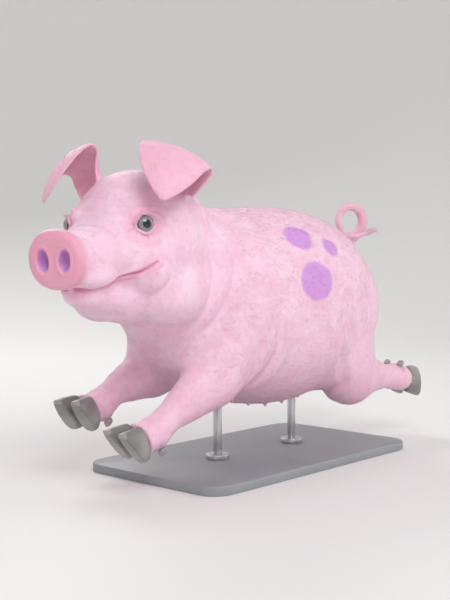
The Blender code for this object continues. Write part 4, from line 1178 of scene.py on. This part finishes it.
def sample_roots(surface, density, rng):
    """Roots spread over the skin: three corner indices and three shares for each."""
    mesh = surface.mesh
    mesh.calc_loop_triangles()
    corners = read(mesh.loop_triangles, "vertices", 3, np.int64)
    a, b, c = (surface.points[corners[:, i]] for i in range(3))
    area = np.linalg.norm(np.cross(b - a, c - a), axis=1) / 2
    wanted = area * density[corners].mean(1)
    count = int(wanted.sum())
    chosen = rng.choice(len(corners), count, p=wanted / wanted.sum())
    first, second = rng.random(count), rng.random(count)
    over = first + second > 1
    first[over], second[over] = 1 - first[over], 1 - second[over]
    shares = np.column_stack([1 - first - second, first, second])
    return corners[chosen], shares


def at_roots(values, corners, shares):
    """A per-point value read at each root."""
    picked = values[corners]
    if values.ndim == 1:
        return (picked * shares).sum(1)
    return (picked * shares[:, :, None]).sum(1)


def unit(vectors):
    """Vectors of length one."""
    return vectors / np.maximum(np.linalg.norm(vectors, axis=1), 1e-9)[:, None]


class Unwrap:
    """A coarse unwrapped copy of the skin, which gives each tuft its place in the texture."""

    def __init__(self, skin):
        obj = add_object("unwrap", skin.data.copy())
        modifier = obj.modifiers.new("coarse", "DECIMATE")
        modifier.ratio = UNWRAP_FACES / len(obj.data.polygons)
        with_modifiers(obj)
        bpy.ops.object.select_all(action="DESELECT")
        obj.select_set(True)
        bpy.context.view_layer.objects.active = obj
        bpy.ops.object.mode_set(mode="EDIT")
        bpy.ops.mesh.select_all(action="SELECT")
        bpy.ops.uv.smart_project(angle_limit=math.radians(66), island_margin=0.004)
        bpy.ops.object.mode_set(mode="OBJECT")
        mesh = obj.data
        mesh.calc_loop_triangles()
        self.corners, loops = (read(mesh.loop_triangles, n, 3, np.int64) for n in ("vertices", "loops"))
        self.spots = read(mesh.uv_layers.active.uv, "vector", 2, np.float32)[loops]
        self.points = read(mesh.vertices, "co", 3)
        self.tree = BVHTree.FromPolygons(self.points.tolist(), self.corners.tolist())
        bpy.data.objects.remove(obj)
        bpy.data.meshes.remove(mesh)

    def places(self, points):
        """Texture places of points on the skin."""
        found = [self.tree.find_nearest(p) for p in points.tolist()]
        faces = np.array([f[2] for f in found])
        spots = np.array([f[0][:] for f in found])
        a, b, c = (self.points[self.corners[faces, i]] for i in range(3))
        normal = np.cross(b - a, c - a)
        whole = np.maximum((normal**2).sum(1), 1e-18)
        first = (np.cross(c - b, spots - b) * normal).sum(1) / whole
        second = (np.cross(a - c, spots - c) * normal).sum(1) / whole
        shares = np.column_stack([first, second, 1 - first - second])
        return (self.spots[faces] * shares[:, :, None]).sum(1)


def mesh_from_arrays(name, points, faces):
    """A mesh of triangles."""
    mesh = bpy.data.meshes.new(name)
    mesh.vertices.add(len(points))
    mesh.vertices.foreach_set("co", points.astype(np.float32).ravel())
    mesh.loops.add(faces.size)
    mesh.loops.foreach_set("vertex_index", faces.astype(np.int32).ravel())
    mesh.polygons.add(len(faces))
    mesh.polygons.foreach_set("loop_start", np.arange(0, faces.size, 3, dtype=np.int32))
    mesh.update(calc_edges=True)
    return mesh


def blade_faces():
    """The triangles of one hair: a three-sided base ring, a middle ring and a tip."""
    faces = [(2, 1, 0)]
    for i in range(3):
        j = (i + 1) % 3
        faces += [(i, j, 3 + j), (i, 3 + j, 3 + i), (3 + i, 3 + j, 6)]
    return np.array(faces)


def tufts(
    name, material, root, normal, lie, length, width, lift, uv, rng,
    hairs=HAIRS_PER_TUFT, spread=0.30, apart=0.14,
):
    """A coat piece: at each root a few tapered hairs that leave the skin and bend over along their lie."""
    count = len(root)
    along = unit(lie - normal * (lie * normal).sum(1)[:, None])
    across = np.cross(normal, along)
    all_points, all_uv, all_shade, all_along = [], [], [], []
    tuft_shade = rng.random(count)
    (least, more, few), (high, thick) = HAIR_RISES, HAIR_MIDDLE
    for _ in range(hairs):
        turn = rng.normal(0, spread, count)
        way = unit(along + across * turn[:, None])
        side = np.cross(normal, way)
        aside, ahead = (length * rng.normal(0, share, count) for share in (apart, 1.6 * apart))
        start = root + across * aside[:, None] + along * ahead[:, None]
        size = length * rng.uniform(*HAIR_SIZES, count)
        rise = size * lift * (least + more * rng.random(count) ** few)
        foot = start - normal * FOOT_DEPTH
        middle = start + way * (size * 0.5)[:, None] + normal * (rise * high)[:, None]
        tip = start + way * size[:, None] + normal * rise[:, None]
        ring = []
        for centre, share in ((foot, 1.0), (middle, thick)):
            for step in range(3):
                # The flat of each hair faces out, so that it takes its light as the skin under it does
                angle = 2 * math.pi * step / 3 + math.pi / 6
                off = side * math.cos(angle) + normal * math.sin(angle)
                ring.append(centre + off * (width * share)[:, None])
        all_points.append(np.stack([*ring, tip], 1))
        all_uv.append(uv[:, None, :] + (np.array(HAIR_SPOTS) * SPOT_SIZE / 2)[None])
        all_shade.append(np.repeat(np.clip(tuft_shade * 0.7 + rng.random(count) * 0.3, 0, 1), HAIR_POINTS))
        all_along.append(np.tile([0, 0, 0, 0.5, 0.5, 0.5, 1.0], count))
    points = np.concatenate(all_points).reshape(-1, 3)
    low, high = (np.array(corner) for corner in cad_box)
    points = np.clip(points, low + BOX_MARGIN, high - BOX_MARGIN)
    faces = (np.arange(count * hairs)[:, None, None] * HAIR_POINTS + blade_faces()).reshape(-1, 3)
    mesh = mesh_from_arrays(name, points, faces)
    places = np.clip(np.concatenate(all_uv).reshape(-1, 2), 0.0, 1.0)
    layer = mesh.uv_layers.new(name="OFBake")
    layer.uv.foreach_set("vector", places[faces.ravel()].astype(np.float32).ravel())
    store(mesh, "shade", np.concatenate(all_shade))
    store(mesh, "along", np.concatenate(all_along))
    finish_piece(add_object(name, mesh), material, "skin")


def lid_edge(side, share):
    """A place on the upper lid's margin, from one corner to the other, and the way that a lash leaves it."""
    wide = abs(share)
    high = (1 - wide ** LID_POWERS[0]) ** (1 / LID_POWERS[1])
    across, up = math.tan(share * LID_HALF_WIDTH), math.tan(high * LID_RISE)
    cosine, sine = math.cos(EYE_SLANT * side), math.sin(EYE_SLANT * side)
    spot = Vector((across * cosine - up * sine, across * sine + up * cosine, 1.0))
    spot = spot.normalized() * (eye_radius() + LID_MARGIN)
    return spot, (spot.normalized() + LASH_LEAN).normalized()


def make_lashes(unwrap, material):
    """Pale lashes along both upper lids."""
    rng = np.random.default_rng(LASH_SEED)
    roots, ways, outs = [], [], []
    for side in (1, -1):
        matrix = eye_matrix(side)
        turn = matrix.to_3x3()
        for k in range(LASHES):
            share = -LASH_REACH + 2 * LASH_REACH * (k + rng.uniform(-0.3, 0.3)) / (LASHES - 1)
            spot, way = lid_edge(side, max(-LASH_LIMIT, min(LASH_LIMIT, share)))
            roots.append(matrix @ spot)
            ways.append(turn @ way)
            outs.append(turn @ LASH_OUT)
    root, way, out = (np.array([v[:] for v in values]) for values in (roots, ways, outs))
    count = len(root)
    size = LASH_LENGTH * rng.uniform(0.7, 1.1, count)
    tufts(
        "eyelashes", material, root, unit(out), way, size, np.full(count, LASH_WIDTH),
        np.full(count, LASH_LIFT), unwrap.places(root), rng, hairs=2, spread=0.18, apart=0.03,
    )


def make_whiskers(surface, normals, names, unwrap, material):
    """Longer single bristles on the chin, the lips and the sides of the snout."""
    rng = np.random.default_rng(WHISKER_SEED)
    head = to_local(surface.points, head_matrix())
    rear, fore = WHISKER_ALONG
    density = smooth_step(head[:, 0], *rear) * smooth_step(head[:, 0], *fore)
    density *= smooth_step(head[:, 2], *WHISKER_UP) * at_parts(names, "head", "snout")
    corners, shares = sample_roots(surface, density * WHISKER_SPOTS, rng)
    chosen = rng.choice(len(corners), WHISKERS, replace=False) if len(corners) > WHISKERS else slice(None)
    corners, shares = corners[chosen], shares[chosen]
    root, normal = (at_roots(v, corners, shares) for v in (surface.points, normals))
    count = len(root)
    way = np.array(head_matrix())[:3, :3] @ np.array(WHISKER_WAY)
    size = WHISKER_LENGTH * rng.uniform(0.6, 1.1, count)
    tufts(
        "whiskers", material, root, unit(normal), np.tile(way, (count, 1)), size * 0.6,
        np.full(count, WHISKER_WIDTH), np.full(count, WHISKER_LIFT), unwrap.places(root), rng, hairs=1,
    )


def make_coat(settings):
    """The bristles, in one piece for each part of the body."""
    skin = bpy.data.objects.get("skin")
    if skin is None:
        raise RuntimeError("make the skin first")
    rng = np.random.default_rng(COAT_SEED)
    surface = Surface(skin.data)
    normals = surface.normals()
    names = nearest_nodes(surface.points)
    lie = lie_of_hair(surface, names)
    length, width, density, lift = (
        by_part(names, {part: hair[i] for part, hair in HAIR.items()}) for i in range(4)
    )
    back = smooth_step(normals[:, 2], 0.55, 0.95) * at_parts(names, "torso", "neck")
    length *= 1 + settings.back_gain * back
    for _ in range(10):
        length, width, lift = (surface.average(v) for v in (length, width, lift))
    hoof_gap = distance_to_nodes(surface.points, [node for leg in LEGS for node in foot_nodes(leg)], 0.03)
    fringe = smooth_step(hoof_gap, *FRINGE_SPAN)
    length *= 1 + settings.fringe_gain * fringe
    density *= 1 + FRINGE_DENSER * fringe
    tip = tail_end(surface.points, names)
    tassel = smooth_step(far_from(surface.points, tip), *TASSEL_SPAN) * at_parts(names, "tail_tip")
    length *= 1 + settings.tassel_gain * tassel
    density *= 1 + TASSEL_DENSER * tassel
    # From hairs for each square centimetre to tufts for each square metre
    density *= 1e4 / HAIRS_PER_TUFT * clear_of_bare(surface, names)
    corners, shares = sample_roots(surface, density, rng)
    root, normal, way = (at_roots(v, corners, shares) for v in (surface.points, normals, lie))
    size, thick, rise = (at_roots(v, corners, shares) for v in (length, width, lift))
    part = names[corners[:, 0]]
    unwrap = Unwrap(skin)
    uv = unwrap.places(root)
    material = bristle_material(settings)
    for name, (starts, side, rear, fore) in COAT_PIECES.items():
        chosen = (-root[:, 0] >= rear) & (-root[:, 0] < fore)
        chosen &= at_parts(part, *starts) > 0
        if side:
            chosen &= (root[:, 1] < 0) == (side == "left")
        tufts(
            name, material, root[chosen], unit(normal[chosen]), way[chosen], size[chosen],
            thick[chosen], rise[chosen], uv[chosen], rng,
        )
    make_lashes(unwrap, material)
    make_whiskers(surface, normals, names, unwrap, material)


def clear_of_bare(surface, names):
    """How much hair grows at each point: none on the snout disc, the lid margins or in the mouth line."""
    head = to_local(surface.points, head_matrix())
    clear = smooth_step(head[:, 0], *BARE_SNOUT)
    clear[at_parts(names, "snout", "head") == 0] = 1.0
    for side in (1, -1):
        eye = far_from(surface.points, eye_matrix(side).translation)
        clear *= smooth_step(eye, *BARE_LID)
        mouth, _ = near_path(surface.points, mouth_line(surface, side))
        clear *= smooth_step(mouth, *BARE_MOUTH)
    return clear


def make_stand(settings):
    """The board, rods and collars of the stand, merged from the CAD facets, with their edges eased."""
    board, steel = board_material(settings), steel_material()
    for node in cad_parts:
        if not node.startswith("stand_"):
            continue
        base = node == "stand_base"
        obj = add_object(node.replace("stand_", "display_"), merged_copy([node], 0.0))
        obj.data.shade_smooth()
        bevel = obj.modifiers.new("bevel", "BEVEL")
        bevel.width = settings.edge if base else settings.rod_edge
        bevel.segments = 3
        bevel.limit_method = "ANGLE"
        bevel.angle_limit = math.radians(50)
        bevel.harden_normals = True
        with_modifiers(obj)
        finish_piece(obj, board if base else steel, "painted_base" if base else "steel", node)


def hue(name, description, code):
    """A colour of the settings, with its default as an sRGB hex code."""
    return FloatVectorProperty(name=name, description=description, subtype="COLOR", default=linear(code))


def number(name, description, default, unit="NONE"):
    """A number of the settings."""
    return FloatProperty(name=name, description=description, default=default, unit=unit)


class PigSkinSettings(bpy.types.PropertyGroup):
    """Skin colours and how far the skin lies inside the solids."""

    inset: number("Inset", "Depth of the coat over the skin", 0.0008, "LENGTH")
    skin_colour: hue("Skin", "Pink of the skin", "F2C7DC")
    pale_colour: hue("Pale skin", "Paler pink between the blushes", "F6D6E7")
    blush_colour: hue("Blush", "Pink of thin and bare skin", "E69DB6")
    patch_colour: hue("Patch", "Mauve of the patches", "D49ADF")
    # Colour of the painted shade in the mouth line and inside the nostrils
    hollow_shade_colour: hue("Hollow", "Inside of nostrils and mouth line", "CE96D4")


class PigCoatSettings(bpy.types.PropertyGroup):
    """Bristle colours and the longer hair of the back."""

    back_gain: number("Back gain", "How much longer the back's hair is", 0.4)
    fringe_gain: number("Fringe gain", "How much longer the hair over the hooves is", 0.6)
    tassel_gain: number("Tassel gain", "How much longer the tail tip's hair is", 1.6)
    hair_colour: hue("Hair", "Bristle colour", "F9E0E6")
    hair_shade_colour: hue("Hair shade", "Darker bristles", "F5D2DD")
    root_colour: hue("Root", "Colour at the root", "F2C6D8")
    patch_hair_colour: hue("Patch hair", "Hair on the patches", "DFB0E6")


class PigEyeSettings(bpy.types.PropertyGroup):
    """Colours and proportions of the eyes."""

    iris_colour: hue("Iris", "Grey of the iris", "86868C")
    iris_dark: hue("Iris spokes", "Darker spokes", "4C4B51")
    rim_colour: hue("Rim", "Dark ring round the iris", "3A383C")
    white_colour: hue("White", "White of the eye", "E9DCDC")
    pupil_colour: hue("Pupil", "Pupil", "0D0C0E")
    pupil_size: number("Pupil size", "Share of the eyeball's radius", 0.40)
    pupil_squeeze: number("Pupil squeeze", "Under 1 widens the pupil sideways", 0.88)


class PigHoofSettings(bpy.types.PropertyGroup):
    """Horn colours."""

    horn_colour: hue("Horn", "Grey of the horn", "8F8D8C")
    horn_light: hue("Light rings", "Paler growth rings", "ABA8A5")
    horn_dark: hue("Dark strands", "Darker strands and tip", "6A6766")
    horn_band: hue("Coronet", "Tint at the hair line", "B9A3A2")


class PigStandSettings(bpy.types.PropertyGroup):
    """Stand finish."""

    board_colour: hue("Board", "Paint of the base", "8E9196")
    board_light: hue("Board light", "Paler paint", "979A9E")
    edge: number("Edge", "Rounding of the base's edges", 0.003, "LENGTH")
    rod_edge: number("Rod edge", "Rounding of the rods' ends", 0.0008, "LENGTH")


class PigStageSettings(bpy.types.PropertyGroup):
    """Backdrop, lights and camera."""

    floor_colour: hue("Floor", "Backdrop paper", "E9E7E6")
    azimuth: number("Azimuth", "Camera direction", math.radians(-48), "ROTATION")
    elevation: number("Elevation", "Camera height angle", math.radians(3), "ROTATION")
    distance: number("Distance", "Camera distance", 2.2, "LENGTH")
    lens: number("Lens", "Focal length in millimetres", 63.0)
    sides: IntProperty(name="Backdrop sides", description="Sides of the round backdrop", default=96)


def make_backdrop(settings):
    """A round seamless backdrop: a floor that curves up into a wall all round."""
    bm = bmesh.new()
    flat = BACKDROP_RADIUS - BACKDROP_BEND
    places = [Vector((0, 0, 0)), Vector((flat, 0, 0))]
    for step in range(1, 13):
        angle = math.pi / 2 * step / 12
        places.append(
            Vector((flat + BACKDROP_BEND * math.sin(angle), 0, BACKDROP_BEND * (1 - math.cos(angle))))
        )
    places.append(Vector((BACKDROP_RADIUS, 0, BACKDROP_HEIGHT)))
    verts = [bm.verts.new(p) for p in places]
    edges = [bm.edges.new(pair) for pair in zip(verts[:-1], verts[1:])]
    upright = {"cent": (0, 0, 0), "axis": (0, 0, 1), "angle": 2 * math.pi}
    bmesh.ops.spin(bm, geom=verts + edges, steps=settings.sides, use_merge=True, **upright)
    bmesh.ops.remove_doubles(bm, verts=bm.verts, dist=1e-5)
    bmesh.ops.recalc_face_normals(bm, faces=bm.faces)
    if sum(face.normal.z for face in bm.faces) < 0:
        bmesh.ops.reverse_faces(bm, faces=bm.faces)
    mesh = mesh_of(bm, "backdrop")
    mesh.shade_smooth()
    obj = add_object("backdrop", mesh)
    mesh.materials.append(backdrop_material(settings))


def aim(obj, spot, target):
    """Places a light or camera and points it."""
    obj.location = spot
    obj.rotation_mode = "QUATERNION"
    obj.rotation_quaternion = (Vector(target) - Vector(spot)).to_track_quat("-Z", "Y")


def make_lights():
    """Soft studio light: a large key from the left front, a fill, a rim and an even surround."""
    for name, (spot, size, power) in LIGHTS.items():
        data = bpy.data.lights.new(name, "AREA")
        data.shape = "DISK"
        data.size = size
        data.energy = power
        aim(add_object(name, data), spot, LIGHT_TARGET)
    world = bpy.data.worlds.new("surround")
    world.use_nodes = True
    background = world.node_tree.nodes["Background"]
    background.inputs[0].default_value = color(linear("F2F3F5"))
    background.inputs[1].default_value = SURROUND
    bpy.context.scene.world = world


def make_camera(settings):
    """A camera at the photograph's angle."""
    data = bpy.data.cameras.new("camera")
    data.lens = settings.lens
    camera = add_object("camera", data)
    a, e = settings.azimuth, settings.elevation
    back = Vector((math.sin(a) * math.cos(e), -math.cos(a) * math.cos(e), math.sin(e)))
    aim(camera, CAMERA_TARGET + back * settings.distance, CAMERA_TARGET)
    bpy.context.scene.camera = camera


def make_stage(settings):
    """The backdrop, lights and camera."""
    make_backdrop(settings)
    make_lights()
    make_camera(settings)
    bpy.context.scene.view_settings.view_transform = "Standard"


def piece_operator(name, settings, description, make):
    """An operator that makes one kind of piece from its own settings."""

    def execute(self, context):
        make(getattr(context.scene, settings))
        return {"FINISHED"}

    members = {"bl_idname": "pig." + name, "bl_label": name.capitalize(), "bl_description": description}
    return type("PIG_OT_" + name, (bpy.types.Operator,), members | {"execute": execute})


class PIG_PT_panel(bpy.types.Panel):
    """The pig's pieces"""

    bl_label = "Leaping Pig"
    bl_idname = "PIG_PT_panel"
    bl_space_type = "VIEW_3D"
    bl_region_type = "UI"
    bl_category = "Pig"

    def draw(self, context):
        for settings, _, operator in PIECES:
            box = self.layout.box()
            box.operator(operator.bl_idname)
            group = getattr(context.scene, settings)
            for name in group.__annotations__:
                box.prop(group, name)


# Each kind of piece: its settings, their class and its operator
PIECES = [
    (settings, group, piece_operator(name, settings, description, make))
    for name, settings, group, description, make in [
        ("skin", "pig_skin", PigSkinSettings, "Make the skin", make_skin),
        ("eyes", "pig_eye", PigEyeSettings, "Make the eyes", make_eyes),
        ("hooves", "pig_hoof", PigHoofSettings, "Make the claws and dewclaws of all four feet", make_hooves),
        ("coat", "pig_coat", PigCoatSettings, "Grow the bristles on the skin", make_coat),
        ("stand", "pig_stand", PigStandSettings, "Finish the display stand", make_stand),
        ("stage", "pig_stage", PigStageSettings, "Set up the backdrop, lights and camera", make_stage),
    ]
]


def register():
    """Registers the settings, operators and panel."""
    for settings, group, operator in PIECES:
        bpy.utils.register_class(group)
        setattr(bpy.types.Scene, settings, PointerProperty(type=group))
        bpy.utils.register_class(operator)
    bpy.utils.register_class(PIG_PT_panel)


def unregister():
    """Takes everything out again."""
    bpy.utils.unregister_class(PIG_PT_panel)
    for settings, group, operator in reversed(PIECES):
        bpy.utils.unregister_class(operator)
        delattr(bpy.types.Scene, settings)
        bpy.utils.unregister_class(group)


def main():
    """Makes every piece in order."""
    register()
    bpy.ops.pig.skin()
    bpy.ops.pig.eyes()
    bpy.ops.pig.hooves()
    bpy.ops.pig.coat()
    bpy.ops.pig.stand()
    bpy.ops.pig.stage()


if __name__ == "__main__":
    main()
